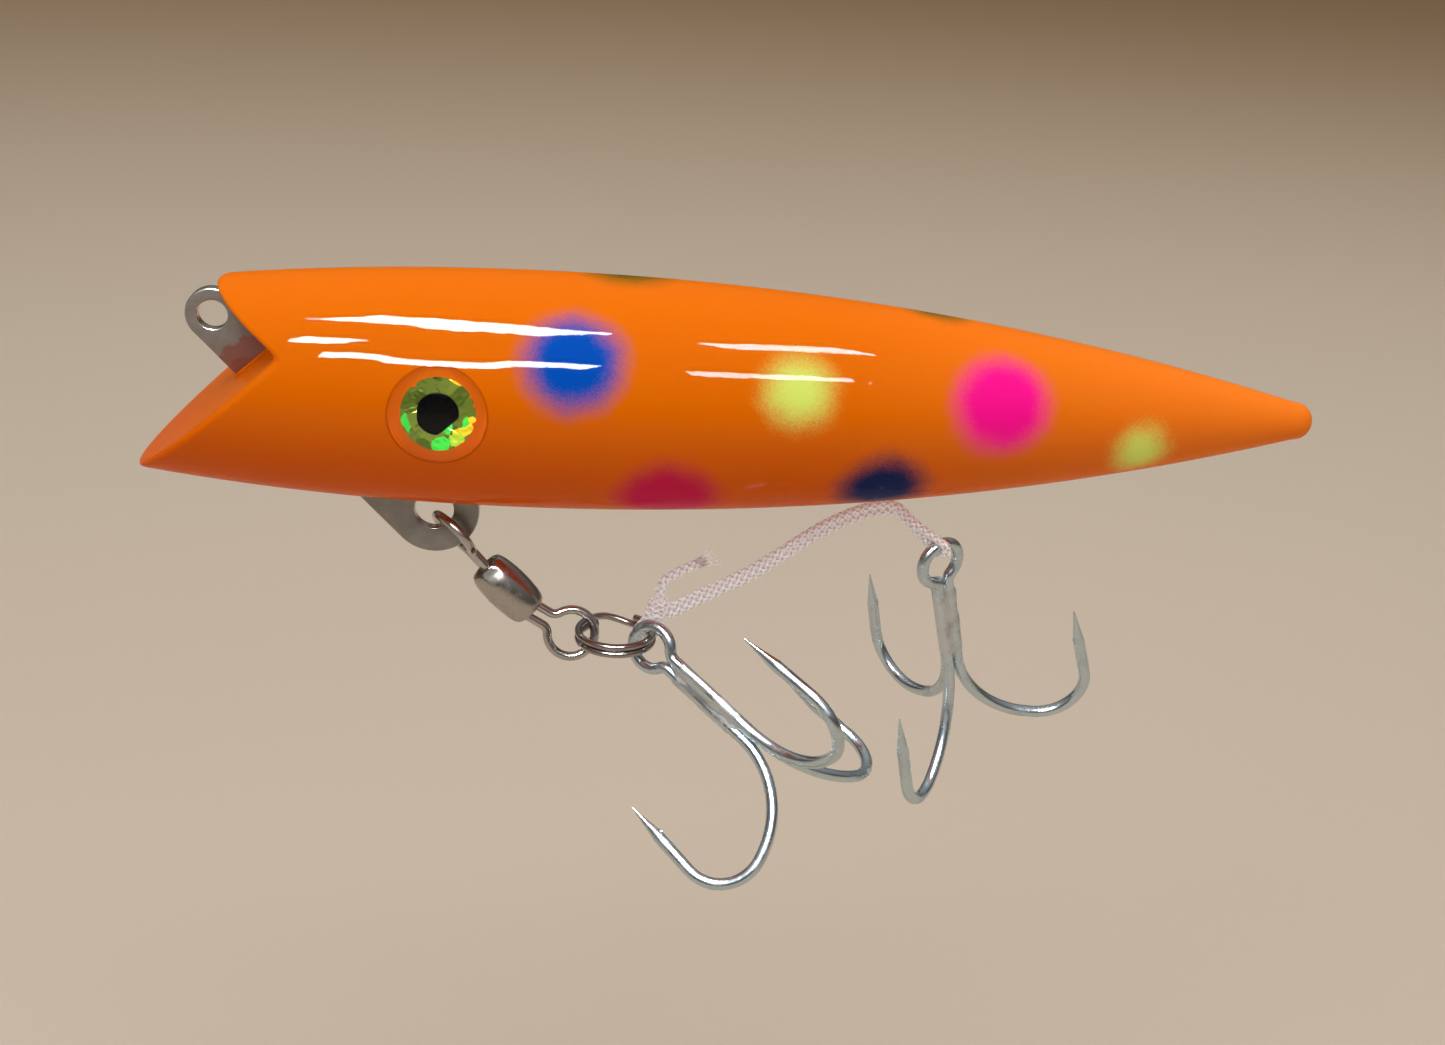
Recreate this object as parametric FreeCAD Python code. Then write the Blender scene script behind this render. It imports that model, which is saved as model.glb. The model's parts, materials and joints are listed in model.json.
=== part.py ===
import FreeCAD, Part
import math
import os

# A wooden surface plug for salmon and other game fish.
# Millimetres. +X runs from the nose to the tail, +Z is up, -Y is the plug's left side.
# Sizes are measured from the axis the body was turned about, level with the tip of the lower jaw.
# The finished pieces are then moved together, so that the tow eye is at the origin.

V = FreeCAD.Vector
AXIS_X = V(1, 0, 0)
AXIS_Y = V(0, 1, 0)
AXIS_Z = V(0, 0, 1)

# ---- turned body ----
BODY_LENGTH = 180.0
NOSE_RADIUS = 13.7
SHOULDER_X, SHOULDER_RADIUS = 30.0, 16.9
BELLY_X, BELLY_RADIUS = 57.0, 17.85
WAIST_X, WAIST_RADIUS = 100.0, 16.2
QUARTER_X, QUARTER_RADIUS = 140.0, 11.0
TAIL_X, TAIL_RADIUS = 177.0, 2.8

# ---- mouth: a V notch sawn straight across the nose ----
MOUTH_ROOT_X, MOUTH_ROOT_Z = 24.3, 8.0
LOWER_JAW_SLOPE = 42.1
UPPER_JAW_SLOPE = 33.3
MOUTH_CUT_REACH = 40.0
MOUTH_ROOT_ROUND = 1.0
MOUTH_RIM_ROUND = 0.9

# ---- hanger plate in its saw kerf ----
PLATE_THICKNESS = 1.9
TOW_EYE_X, TOW_EYE_Z = 12.4, 9.9
TOW_LUG_RADIUS = 4.1
TOW_HOLE_RADIUS = 2.25
BELLY_EYE_X, BELLY_EYE_Z = 45.3, -20.2
BELLY_LUG_RADIUS = 7.0
BELLY_HOLE_RADIUS = 3.05
GLUE_GAP = 0.05
KERF_EXTRA = 3.0

# ---- cross pins through body and plate ----
PIN_RADIUS = 1.2
PIN_SLIP = 0.05
FRONT_PIN_AT, REAR_PIN_AT = 0.42, 0.73

# ---- eyes ----
EYE_X = 47.3
EYE_TILT = 5.0
SOCKET_RADIUS = 7.15
SOCKET_FLOOR = 16.2
FOIL_RADIUS, FOIL_THICKNESS = 5.5, 0.15
PUPIL_RADIUS, PUPIL_THICKNESS = 3.15, 0.10
PUPIL_FORWARD, PUPIL_UP = 0.15, 0.05
DOME_SLIP = 0.05
DOME_PROUD = 0.25

# ---- barrel swivel ----
BARREL_CENTRE = V(56.85, 0, -33.55)
BARREL_SLOPE = 45.0
BARREL_HALF = 4.8
BARREL_MID_RADIUS, BARREL_END_RADIUS = 3.4, 2.6
BARREL_HOLE_RADIUS = 2.0
BARREL_WALL_END = 0.9
BARREL_CAVITY_RADIUS = 2.45
SHANK_RADIUS = 1.9
SHANK_HEAD_RADIUS, SHANK_HEAD_LENGTH = 2.35, 1.0
SHANK_HEAD_PLAY = 0.1
SHANK_PROUD = 0.3
SWIVEL_WIRE_RADIUS = 0.725
LEG_OFFSET = 1.15
LOOP_RADIUS = 3.8
LOOP_SHOULDER_RADIUS = 1.6
LOOP_CENTRE_OUT = 7.85
UPPER_EYE_SLOPE = 48.8
UPPER_EYE_ROLL = 28.0
LOWER_EYE_SLOPE = 31.0
LOWER_EYE_FACING = V(-0.173, 0.919, -0.19)

# ---- split ring, lying level ----
RING_CENTRE = V(74.05, 0, -40.95)
RING_RADIUS = 5.95
RING_WIRE_RADIUS = 0.57
RING_COIL_PITCH = 1.2
RING_JOG_AT, RING_JOG_HALF = 90.0, 30.0
RING_TREBLE_AT = -20.0
RING_CORD_AT = 26.0

# ---- treble hooks ----
HOOK_WIRE_RADIUS = 0.95
SHANK_OFFSET = 1.13
SHANK_LENGTH = 16.1
BEND_OUT_RADIUS, BEND_OUT_ANGLE = 15.6, 77.0
BEND_IN_RADIUS, BEND_IN_ANGLE = 6.84, 183.8
POINT_LENGTH, POINT_TAPER, POINT_TIP_RADIUS = 13.5, 6.5, 0.1
BARB_FROM_TIP, BARB_LENGTH, BARB_RADIUS, BARB_TILT = 4.4, 2.0, 0.5, 28.0
HOOK_EYE_RADIUS, HOOK_EYE_SHOULDER = 3.5, 1.8
SOLDER_START, SOLDER_END = 0.6, 14.8
SOLDER_SKIN = 0.16

FRONT_TREBLE_AXIS = V(0.7176, -0.5565, -0.4187)
FRONT_SINGLE_SIDE = V(0.544, 0.823, -0.162)
RING_IN_EYE_DOWN, RING_IN_EYE_SIDE = 5.27, 0.6
REAR_TREBLE_AXIS = V(0.2174, 0.2515, -0.9431)
REAR_SINGLE_SIDE = V(-0.540, 0.836, 0.098)
REAR_TREBLE_NECK = V(125.3, 0.2, -29.9)

# ---- doubled cord from the ring to the rear treble ----
CORD_RADIUS = 0.65
STRAND_SPACING = 1.15
STRAND_SPREAD = V(-0.35, 0, 0.94)
CORD_WRAP_RADIUS = 2.15
KNOT_CENTRE = V(81.0, 2.9, -37.6)
KNOT_RADIUS = 1.8
CORD_START = V(83.7, 2.9, -38.6)
CORD_BEND_FRONT = V(94.8, 2.25, -30.5)
CORD_BEND_REAR = V(106.3, 1.6, -21.7)
CORD_CREST = (V(112.3, 1.3, -18.5), V(117.0, 0.8, -17.6))
CORD_END = V(121.0, -0.9, -18.3)
CORD_LINK_GAP = 0.8
TAG_PATH = (V(81.0, 2.9, -35.5), V(81.3, 2.7, -32.8), V(83.8, 2.6, -30.7), V(87.3, 2.4, -28.8))
TAG_RADIUS = 0.6


def unit(vector):
    """Return the vector at length one."""
    return V(vector) / vector.Length


def polar(angle, length=1.0):
    """Return a level vector at an angle from +X."""
    turn = math.radians(angle)
    return V(length * math.cos(turn), length * math.sin(turn), 0)


def downhill(slope):
    """Return the direction that runs aft and down at a slope in degrees."""
    turn = math.radians(slope)
    return V(math.cos(turn), 0, -math.sin(turn))


def square_to(vector, axis):
    """Return the part of a vector that is square to an axis, at length one."""
    return unit(vector - axis * vector.dot(axis))


def place(shape, origin, x_dir, z_dir):
    """Move a shape from its own frame to an origin with given X and Z directions."""
    z_axis = unit(z_dir)
    x_axis = square_to(x_dir, z_axis)
    y_axis = z_axis.cross(x_axis)
    moved = shape.copy()
    moved.Placement = FreeCAD.Placement(FreeCAD.Matrix(
        x_axis.x, y_axis.x, z_axis.x, origin.x,
        x_axis.y, y_axis.y, z_axis.y, origin.y,
        x_axis.z, y_axis.z, z_axis.z, origin.z,
        0, 0, 0, 1))
    return moved


def arc(start, middle, end):
    """Return the arc edge through three points."""
    return Part.Arc(start, middle, end).toShape()


def tube(edges, radius):
    """Sweep a round wire along joined edges."""
    path = Part.Wire(edges)
    first = edges[0]
    start = first.valueAt(first.FirstParameter)
    heading = first.tangentAt(first.FirstParameter)
    section = Part.Wire(Part.makeCircle(radius, start, heading))
    return path.makePipeShell([section], True, False)


# ---------------------------------------------------------------- plug body

def turned_body(extra=0.0):
    """Turn the body profile, thickened all round by extra."""
    curve = Part.BSplineCurve()
    curve.interpolate([
        V(0, 0, NOSE_RADIUS + extra),
        V(SHOULDER_X, 0, SHOULDER_RADIUS + extra),
        V(BELLY_X, 0, BELLY_RADIUS + extra),
        V(WAIST_X, 0, WAIST_RADIUS + extra),
        V(QUARTER_X, 0, QUARTER_RADIUS + extra),
        V(TAIL_X, 0, TAIL_RADIUS + extra)])
    cap_height = BODY_LENGTH - TAIL_X + extra
    rim = TAIL_RADIUS + extra
    cap_radius = (cap_height ** 2 + rim ** 2) / (2 * cap_height)
    cap_centre = V(BODY_LENGTH + extra - cap_radius, 0, 0)
    halfway = math.atan2(rim, TAIL_X - cap_centre.x) / 2
    cap_middle = cap_centre + V(math.cos(halfway), 0, math.sin(halfway)) * cap_radius
    edges = [
        curve.toShape(),
        arc(V(TAIL_X, 0, rim), cap_middle, V(BODY_LENGTH + extra, 0, 0)),
        Part.makeLine(V(BODY_LENGTH + extra, 0, 0), V(0, 0, 0)),
        Part.makeLine(V(0, 0, 0), V(0, 0, NOSE_RADIUS + extra))]
    face = Part.Face(Part.Wire(edges))
    return face.revolve(V(0, 0, 0), AXIS_X, 360)


def across(points, half_width):
    """Extrude an outline given as (x, z) pairs equally to both sides of the middle plane."""
    corners = [V(x, -half_width, z) for x, z in points]
    face = Part.Face(Part.makePolygon(corners + corners[:1]))
    return face.extrude(AXIS_Y * (2 * half_width))


def mouth_cut():
    """Return the wedge of wood sawn out between the jaws."""
    low = math.tan(math.radians(LOWER_JAW_SLOPE)) * MOUTH_CUT_REACH
    high = math.tan(math.radians(UPPER_JAW_SLOPE)) * MOUTH_CUT_REACH
    front = MOUTH_ROOT_X - MOUTH_CUT_REACH
    wedge = across([(MOUTH_ROOT_X, MOUTH_ROOT_Z),
                    (front, MOUTH_ROOT_Z - low),
                    (front, MOUTH_ROOT_Z + high)], 2 * BELLY_RADIUS)
    root = [edge for edge in wedge.Edges
            if all(abs(v.X - MOUTH_ROOT_X) < 1e-6 for v in edge.Vertexes)]
    return wedge.makeFillet(MOUTH_ROOT_ROUND, root)


def notched_blank():
    """Return the turned body with its mouth sawn out and the rim of the mouth rounded over."""
    notched = turned_body().cut(mouth_cut())
    rim = [edge for edge in notched.Edges
           if edge.BoundBox.XMax < MOUTH_ROOT_X and edge.BoundBox.ZLength > MOUTH_RIM_ROUND]
    return notched.makeFillet(MOUTH_RIM_ROUND, rim)


def lug_link(lug_one, lug_two, grow, half_width):
    """Return the plate outline: two round lugs joined by their common tangents."""
    (x1, z1, r1), (x2, z2, r2) = lug_one, lug_two
    r1 += grow
    r2 += grow
    length = math.hypot(x2 - x1, z2 - z1)
    heading = math.atan2(z2 - z1, x2 - x1)
    lean = math.acos((r1 - r2) / length)
    sides = []
    for side in (lean, -lean):
        along = heading + side
        sides.append(((x1 + r1 * math.cos(along), z1 + r1 * math.sin(along)),
                      (x2 + r2 * math.cos(along), z2 + r2 * math.sin(along))))
    strip = across([sides[0][0], sides[0][1], sides[1][1], sides[1][0]], half_width)
    rounds = [Part.makeCylinder(r, 2 * half_width, V(x, -half_width, z), AXIS_Y)
              for x, z, r in ((x1, z1, r1), (x2, z2, r2))]
    return strip.multiFuse(rounds).removeSplitter()


TOW_LUG = (TOW_EYE_X, TOW_EYE_Z, TOW_LUG_RADIUS)
BELLY_LUG = (BELLY_EYE_X, BELLY_EYE_Z, BELLY_LUG_RADIUS)
PLATE_RUN = V(BELLY_EYE_X - TOW_EYE_X, 0, BELLY_EYE_Z - TOW_EYE_Z)


def pin_point(share):
    """Return the point on the plate's middle line at a share of the way to the belly eye."""
    return V(TOW_EYE_X, 0, TOW_EYE_Z) + PLATE_RUN * share


def cross_bore(point, radius):
    """Return a cylinder right across the plug through a point."""
    reach = 2 * BELLY_RADIUS
    return Part.makeCylinder(radius, 2 * reach, V(point.x, -reach, point.z), AXIS_Y)


def hanger_plate():
    """The stainless plate with the tow eye at the nose and the swivel eye at the belly."""
    plate = lug_link(TOW_LUG, BELLY_LUG, 0.0, PLATE_THICKNESS / 2)
    holes = [cross_bore(V(TOW_EYE_X, 0, TOW_EYE_Z), TOW_HOLE_RADIUS),
             cross_bore(V(BELLY_EYE_X, 0, BELLY_EYE_Z), BELLY_HOLE_RADIUS)]
    for share in (FRONT_PIN_AT, REAR_PIN_AT):
        holes.append(cross_bore(pin_point(share), PIN_RADIUS + PIN_SLIP))
    return plate.cut(holes)


def plate_slot():
    """The room the plate takes up inside the saw kerf."""
    return lug_link(TOW_LUG, BELLY_LUG, GLUE_GAP, PLATE_THICKNESS / 2 + GLUE_GAP)


def kerf():
    """The whole saw kerf, which runs on a little behind the plate."""
    behind = square_to(AXIS_X, unit(PLATE_RUN)) * KERF_EXTRA
    half = PLATE_THICKNESS / 2 + GLUE_GAP
    slot = plate_slot()
    moved = slot.translated(behind)
    ends = [V(TOW_EYE_X, 0, TOW_EYE_Z), V(BELLY_EYE_X, 0, BELLY_EYE_Z)]
    bridge = across([(p.x, p.z) for p in
                     (ends[0], ends[1], ends[1] + behind, ends[0] + behind)], half)
    return slot.multiFuse([moved, bridge])


def slot_filler(blank):
    """Filler that closes the kerf behind the plate, flush with the body."""
    fill = kerf().common(blank).cut(plate_slot())
    for share in (FRONT_PIN_AT, REAR_PIN_AT):
        fill = fill.cut(cross_bore(pin_point(share), PIN_RADIUS))
    return max(fill.Solids, key=lambda solid: solid.Volume)


def plate_pin(blank, share):
    """A steel pin through wood and plate, trimmed flush with the body."""
    return cross_bore(pin_point(share), PIN_RADIUS).common(blank)


def eye_out(side):
    """Return the outward direction of the eye on one side (-1 left, +1 right)."""
    turn = math.radians(EYE_TILT)
    return V(0, side * math.cos(turn), math.sin(turn))


def eye_disc(side, radius, inner, outer, shift=V(0, 0, 0)):
    """Return a disc square to the eye's outward direction, between two distances out."""
    out = eye_out(side)
    foot = V(EYE_X, 0, 0) + out * inner + shift
    return Part.makeCylinder(radius, outer - inner, foot, out)


def eye_foil(side):
    """Holographic foil disc on the socket floor."""
    return eye_disc(side, FOIL_RADIUS, SOCKET_FLOOR, SOCKET_FLOOR + FOIL_THICKNESS)


def eye_pupil(side):
    """Black pupil printed proud on the foil, set a little forward and up."""
    rise = square_to(AXIS_Z, eye_out(side)) * PUPIL_UP
    bottom = SOCKET_FLOOR + FOIL_THICKNESS
    shift = AXIS_X * -PUPIL_FORWARD + rise
    return eye_disc(side, PUPIL_RADIUS, bottom, bottom + PUPIL_THICKNESS, shift)


def eye_dome(side):
    """Clear resin that fills the socket and stands a little proud of the body."""
    plug = eye_disc(side, SOCKET_RADIUS - DOME_SLIP, SOCKET_FLOOR, 2 * BELLY_RADIUS)
    clear = plug.common(turned_body(DOME_PROUD))
    return clear.cut([eye_foil(side), eye_pupil(side)])


def plug_body(blank):
    """The wooden body with its kerf, pin holes and eye sockets."""
    wood = blank.cut(kerf())
    for share in (FRONT_PIN_AT, REAR_PIN_AT):
        wood = wood.cut(cross_bore(pin_point(share), PIN_RADIUS))
    for side in (-1, 1):
        wood = wood.cut(eye_disc(side, SOCKET_RADIUS, SOCKET_FLOOR, 2 * BELLY_RADIUS))
    return wood


# ---------------------------------------------------------------- barrel swivel

def loop_edges(leg_offset, shoulder, radius, straight):
    """Edges of a wire eye: two legs, two outward shoulders and a round loop.

    The legs stand at y = +leg_offset and -leg_offset and the loop lies in the Y-Z plane.
    """
    rise = math.sqrt((shoulder + radius) ** 2 - (leg_offset + shoulder) ** 2)
    centre_z = straight + rise
    turn = math.acos((leg_offset + shoulder) / (shoulder + radius))

    def shoulder_point(side, angle):
        return V(0, side * (leg_offset + shoulder - shoulder * math.cos(angle)),
                 straight + shoulder * math.sin(angle))

    edges = []
    if straight > 0:
        edges.append(Part.makeLine(V(0, leg_offset, 0), V(0, leg_offset, straight)))
    left = [shoulder_point(1, turn * share) for share in (0, 0.5, 1)]
    right = [shoulder_point(-1, turn * share) for share in (1, 0.5, 0)]
    edges.append(arc(*left))
    edges.append(arc(left[2], V(0, 0, centre_z + radius), right[0]))
    edges.append(arc(*right))
    if straight > 0:
        edges.append(Part.makeLine(V(0, -leg_offset, straight), V(0, -leg_offset, 0)))
    return edges, centre_z


def swivel_eye(lean, lean_axis):
    """A swivel eye standing on the barrel's end face at the origin, loop along +Z.

    Its shank and head sit inside the barrel; the loop leans by an angle about an axis.
    """
    rise = math.sqrt((LOOP_SHOULDER_RADIUS + LOOP_RADIUS) ** 2
                     - (LEG_OFFSET + LOOP_SHOULDER_RADIUS) ** 2)
    edges, _ = loop_edges(LEG_OFFSET, LOOP_SHOULDER_RADIUS, LOOP_RADIUS, LOOP_CENTRE_OUT - rise)
    loop = tube(edges, SWIVEL_WIRE_RADIUS)
    loop.rotate(V(0, 0, 0), lean_axis, lean)
    head_top = -BARREL_WALL_END - SHANK_HEAD_PLAY
    bottom = head_top - SHANK_HEAD_LENGTH
    shank = Part.makeCylinder(SHANK_RADIUS, SHANK_PROUD - bottom, V(0, 0, bottom))
    head = Part.makeCylinder(SHANK_HEAD_RADIUS, SHANK_HEAD_LENGTH, V(0, 0, bottom))
    return loop.multiFuse([shank, head]).removeSplitter()


def barrel_axis():
    """Return the swivel's axis, pointing away from the plug."""
    return downhill(BARREL_SLOPE)


def swivel_upper_eye():
    """The eye that hangs in the belly eye of the plate."""
    axis = barrel_axis() * -1
    heading = downhill(UPPER_EYE_SLOPE) * -1
    across_loop = AXIS_Y * -1
    lift = square_to(AXIS_Z, heading)
    roll = math.radians(UPPER_EYE_ROLL)
    flat = across_loop * math.cos(roll) + lift * math.sin(roll)
    return placed_eye(flat.cross(axis), axis, heading)


def placed_eye(x_dir, axis, heading):
    """Put a swivel eye on the barrel end that an axis points out of, loop along a heading."""
    end = BARREL_CENTRE + axis * BARREL_HALF
    z_axis = unit(axis)
    x_axis = square_to(x_dir, z_axis)
    y_axis = z_axis.cross(x_axis)
    hinge = z_axis.cross(unit(heading))
    lean = math.degrees(math.asin(min(1.0, hinge.Length)))
    local = V(hinge.dot(x_axis), hinge.dot(y_axis), 0)
    eye = swivel_eye(lean, local)
    return place(eye, end, x_axis, z_axis)


def swivel_lower_eye():
    """The eye that holds the split ring."""
    return placed_eye(LOWER_EYE_FACING, barrel_axis(), downhill(LOWER_EYE_SLOPE))


def swivel_barrel():
    """The hollow barrel that both eyes turn in."""
    inner = BARREL_HALF - BARREL_WALL_END
    points = [V(BARREL_HOLE_RADIUS, 0, -BARREL_HALF), V(BARREL_END_RADIUS, 0, -BARREL_HALF)]
    top = [V(BARREL_END_RADIUS, 0, BARREL_HALF), V(BARREL_HOLE_RADIUS, 0, BARREL_HALF),
           V(BARREL_HOLE_RADIUS, 0, inner), V(BARREL_CAVITY_RADIUS, 0, inner),
           V(BARREL_CAVITY_RADIUS, 0, -inner), V(BARREL_HOLE_RADIUS, 0, -inner), points[0]]
    edges = [Part.makeLine(points[0], points[1]),
             arc(points[1], V(BARREL_MID_RADIUS, 0, 0), top[0])]
    for start, end in zip(top, top[1:]):
        edges.append(Part.makeLine(start, end))
    shell = Part.Face(Part.Wire(edges)).revolve(V(0, 0, 0), AXIS_Z, 360)
    return place(shell, BARREL_CENTRE, AXIS_Y, barrel_axis())


# ---------------------------------------------------------------- split ring

def split_ring():
    """A double-coil ring: two flat turns joined by a short jog."""
    points = []
    turn = RING_JOG_AT + RING_JOG_HALF
    end = turn + 720 - 2 * RING_JOG_HALF
    jog_start = RING_JOG_AT + 360 - RING_JOG_HALF
    step = 10.0
    while turn <= end + 1e-6:
        share = min(max((turn - jog_start) / (2 * RING_JOG_HALF), 0.0), 1.0)
        height = -RING_COIL_PITCH / 2 * math.cos(math.pi * share)
        points.append(RING_CENTRE + polar(turn, RING_RADIUS) + AXIS_Z * height)
        turn += step
    curve = Part.BSplineCurve()
    curve.interpolate(points)
    return tube([curve.toShape()], RING_WIRE_RADIUS)


# ---------------------------------------------------------------- treble hooks

def hook_edges(side_angle):
    """Edges of one hook from the neck of the eye to the start of its tapered point."""
    side = polar(side_angle)

    def at(down, out):
        return side * out + AXIS_Z * down

    def on_arc(centre_down, centre_out, radius, angle):
        turn = math.radians(angle)
        return at(centre_down + radius * math.sin(turn), centre_out - radius * math.cos(turn))

    out_angle = math.radians(BEND_OUT_ANGLE)
    in_centre_down = SHANK_LENGTH + (BEND_OUT_RADIUS - BEND_IN_RADIUS) * math.sin(out_angle)
    in_centre_out = (SHANK_OFFSET + BEND_OUT_RADIUS
                     - (BEND_OUT_RADIUS - BEND_IN_RADIUS) * math.cos(out_angle))
    first = [on_arc(SHANK_LENGTH, SHANK_OFFSET + BEND_OUT_RADIUS, BEND_OUT_RADIUS, angle)
             for angle in (0, BEND_OUT_ANGLE / 2, BEND_OUT_ANGLE)]
    second = [on_arc(in_centre_down, in_centre_out, BEND_IN_RADIUS, angle)
              for angle in (BEND_OUT_ANGLE, (BEND_OUT_ANGLE + BEND_IN_ANGLE) / 2, BEND_IN_ANGLE)]
    back = math.radians(BEND_IN_ANGLE)
    heading = AXIS_Z * math.cos(back) + side * math.sin(back)
    point_start = second[2] + heading * (POINT_LENGTH - POINT_TAPER)
    edges = [Part.makeLine(at(0, SHANK_OFFSET), at(SHANK_LENGTH, SHANK_OFFSET)),
             arc(*first), arc(*second), Part.makeLine(second[2], point_start)]
    return edges, point_start, heading, side


def hook_point(start, heading, side):
    """The tapered point and its barb, which stands up on the side facing the shank."""
    cone = Part.makeCone(HOOK_WIRE_RADIUS, POINT_TIP_RADIUS, POINT_TAPER, start, heading)
    foot = start + heading * (POINT_TAPER - BARB_FROM_TIP)
    tilt = math.radians(BARB_TILT)
    lean = heading * -math.cos(tilt) - side * math.sin(tilt)
    barb = Part.makeCone(BARB_RADIUS, POINT_TIP_RADIUS, BARB_LENGTH, foot, lean)
    return [cone, barb]


def single_hook():
    """The third hook, which has no eye of its own. Neck at the origin, shank along +Z."""
    edges, start, heading, side = hook_edges(180.0)
    return tube(edges, HOOK_WIRE_RADIUS).multiFuse(hook_point(start, heading, side))


def double_hook():
    """One wire that makes two hooks and the eye between them."""
    one, start_one, heading_one, side_one = hook_edges(60.0)
    two, start_two, heading_two, side_two = hook_edges(-60.0)
    half_gap = SHANK_OFFSET * math.sin(math.radians(60.0))
    plane_x = SHANK_OFFSET * math.cos(math.radians(60.0))
    loop, _ = loop_edges(half_gap, HOOK_EYE_SHOULDER, HOOK_EYE_RADIUS, 0.0)
    eye = []
    for edge in loop:
        turned = edge.copy()
        turned.rotate(V(0, 0, 0), AXIS_X, 180)
        turned.translate(V(plane_x, 0, 0))
        eye.append(turned)
    path = Part.__sortEdges__(one + eye + two)
    wire = tube(path, HOOK_WIRE_RADIUS)
    tips = hook_point(start_one, heading_one, side_one)
    tips += hook_point(start_two, heading_two, side_two)
    return wire.multiFuse(tips)


def hook_solder():
    """The brazed seam that fills between the three shanks."""
    radius = HOOK_WIRE_RADIUS + SOLDER_SKIN
    centres = [polar(angle, SHANK_OFFSET) for angle in (60, 180, 300)]
    edges = []
    for number, centre in enumerate(centres):
        out = 60 + 120 * number
        edges.append(arc(centre + polar(out - 60, radius), centre + polar(out, radius),
                         centre + polar(out + 60, radius)))
        following = centres[(number + 1) % 3]
        edges.append(Part.makeLine(centre + polar(out + 60, radius),
                                   following + polar(out + 60, radius)))
    face = Part.Face(Part.Wire(edges))
    sleeve = face.extrude(AXIS_Z * (SOLDER_END - SOLDER_START))
    sleeve.translate(AXIS_Z * SOLDER_START)
    wires = [Part.makeCylinder(HOOK_WIRE_RADIUS, SHANK_LENGTH, centre) for centre in centres]
    return sleeve.cut(wires)


def eye_top():
    """Return how far the middle of the eye's top wire stands above a treble's neck."""
    half_gap = SHANK_OFFSET * math.sin(math.radians(60.0))
    _, centre_z = loop_edges(half_gap, HOOK_EYE_SHOULDER, HOOK_EYE_RADIUS, 0.0)
    return centre_z + HOOK_EYE_RADIUS


def treble_frame(axis, single_side):
    """Return a treble's down axis and the direction opposite its single hook."""
    down = unit(axis)
    return down, square_to(single_side * -1, down)


def front_treble_neck():
    """Return the neck point that lets the split ring pass through the front treble's eye."""
    down, x_dir = treble_frame(FRONT_TREBLE_AXIS, FRONT_SINGLE_SIDE)
    wide = down.cross(x_dir)
    plane = x_dir * (SHANK_OFFSET * math.cos(math.radians(60.0)))
    on_ring = RING_CENTRE + polar(RING_TREBLE_AT, RING_RADIUS)
    return on_ring + down * RING_IN_EYE_DOWN + wide * RING_IN_EYE_SIDE - plane


# ---------------------------------------------------------------- cord

def strand_pair(points, trim_start, trim_end):
    """Two strands side by side through points, with their ends held back by trims."""
    first = points[0] + unit(points[1] - points[0]) * trim_start
    last = points[-1] + unit(points[-2] - points[-1]) * trim_end
    knots = [first] + list(points[1:-1]) + [last]
    spread = unit(STRAND_SPREAD) * (STRAND_SPACING / 2)
    pieces = []
    for side in (-1, 1):
        moved = [knot + spread * side for knot in knots]
        if len(moved) == 2:
            edge = Part.makeLine(moved[0], moved[1])
        else:
            curve = Part.BSplineCurve()
            curve.interpolate(moved)
            edge = curve.toShape()
        pieces.append(tube([edge], CORD_RADIUS))
    return pieces[0].fuse(pieces[1])


def cord_knot():
    """The wrap round the ring with the body of the knot above it."""
    centre = RING_CENTRE + polar(RING_CORD_AT, RING_RADIUS)
    wrap = Part.makeTorus(CORD_WRAP_RADIUS, CORD_RADIUS, centre, polar(RING_CORD_AT + 90))
    return wrap.fuse(Part.makeSphere(KNOT_RADIUS, KNOT_CENTRE))


def cord_tag_end():
    """The short cut end that stands out of the knot."""
    curve = Part.BSplineCurve()
    curve.interpolate(list(TAG_PATH))
    return tube([curve.toShape()], TAG_RADIUS)


def cord_end_loop():
    """The bight of the cord round the top wire of the rear treble's eye."""
    down, x_dir = treble_frame(REAR_TREBLE_AXIS, REAR_SINGLE_SIDE)
    wide = down.cross(x_dir)
    plane = x_dir * (SHANK_OFFSET * math.cos(math.radians(60.0)))
    centre = REAR_TREBLE_NECK - down * eye_top() + plane
    loop = Part.makeTorus(CORD_WRAP_RADIUS, CORD_RADIUS, centre, wide)
    crown = centre - down * CORD_WRAP_RADIUS
    start = CORD_END + unit(crown - CORD_END) * CORD_LINK_GAP
    stem = tube([Part.makeLine(start, crown)], CORD_RADIUS)
    return loop.fuse(stem)


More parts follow.
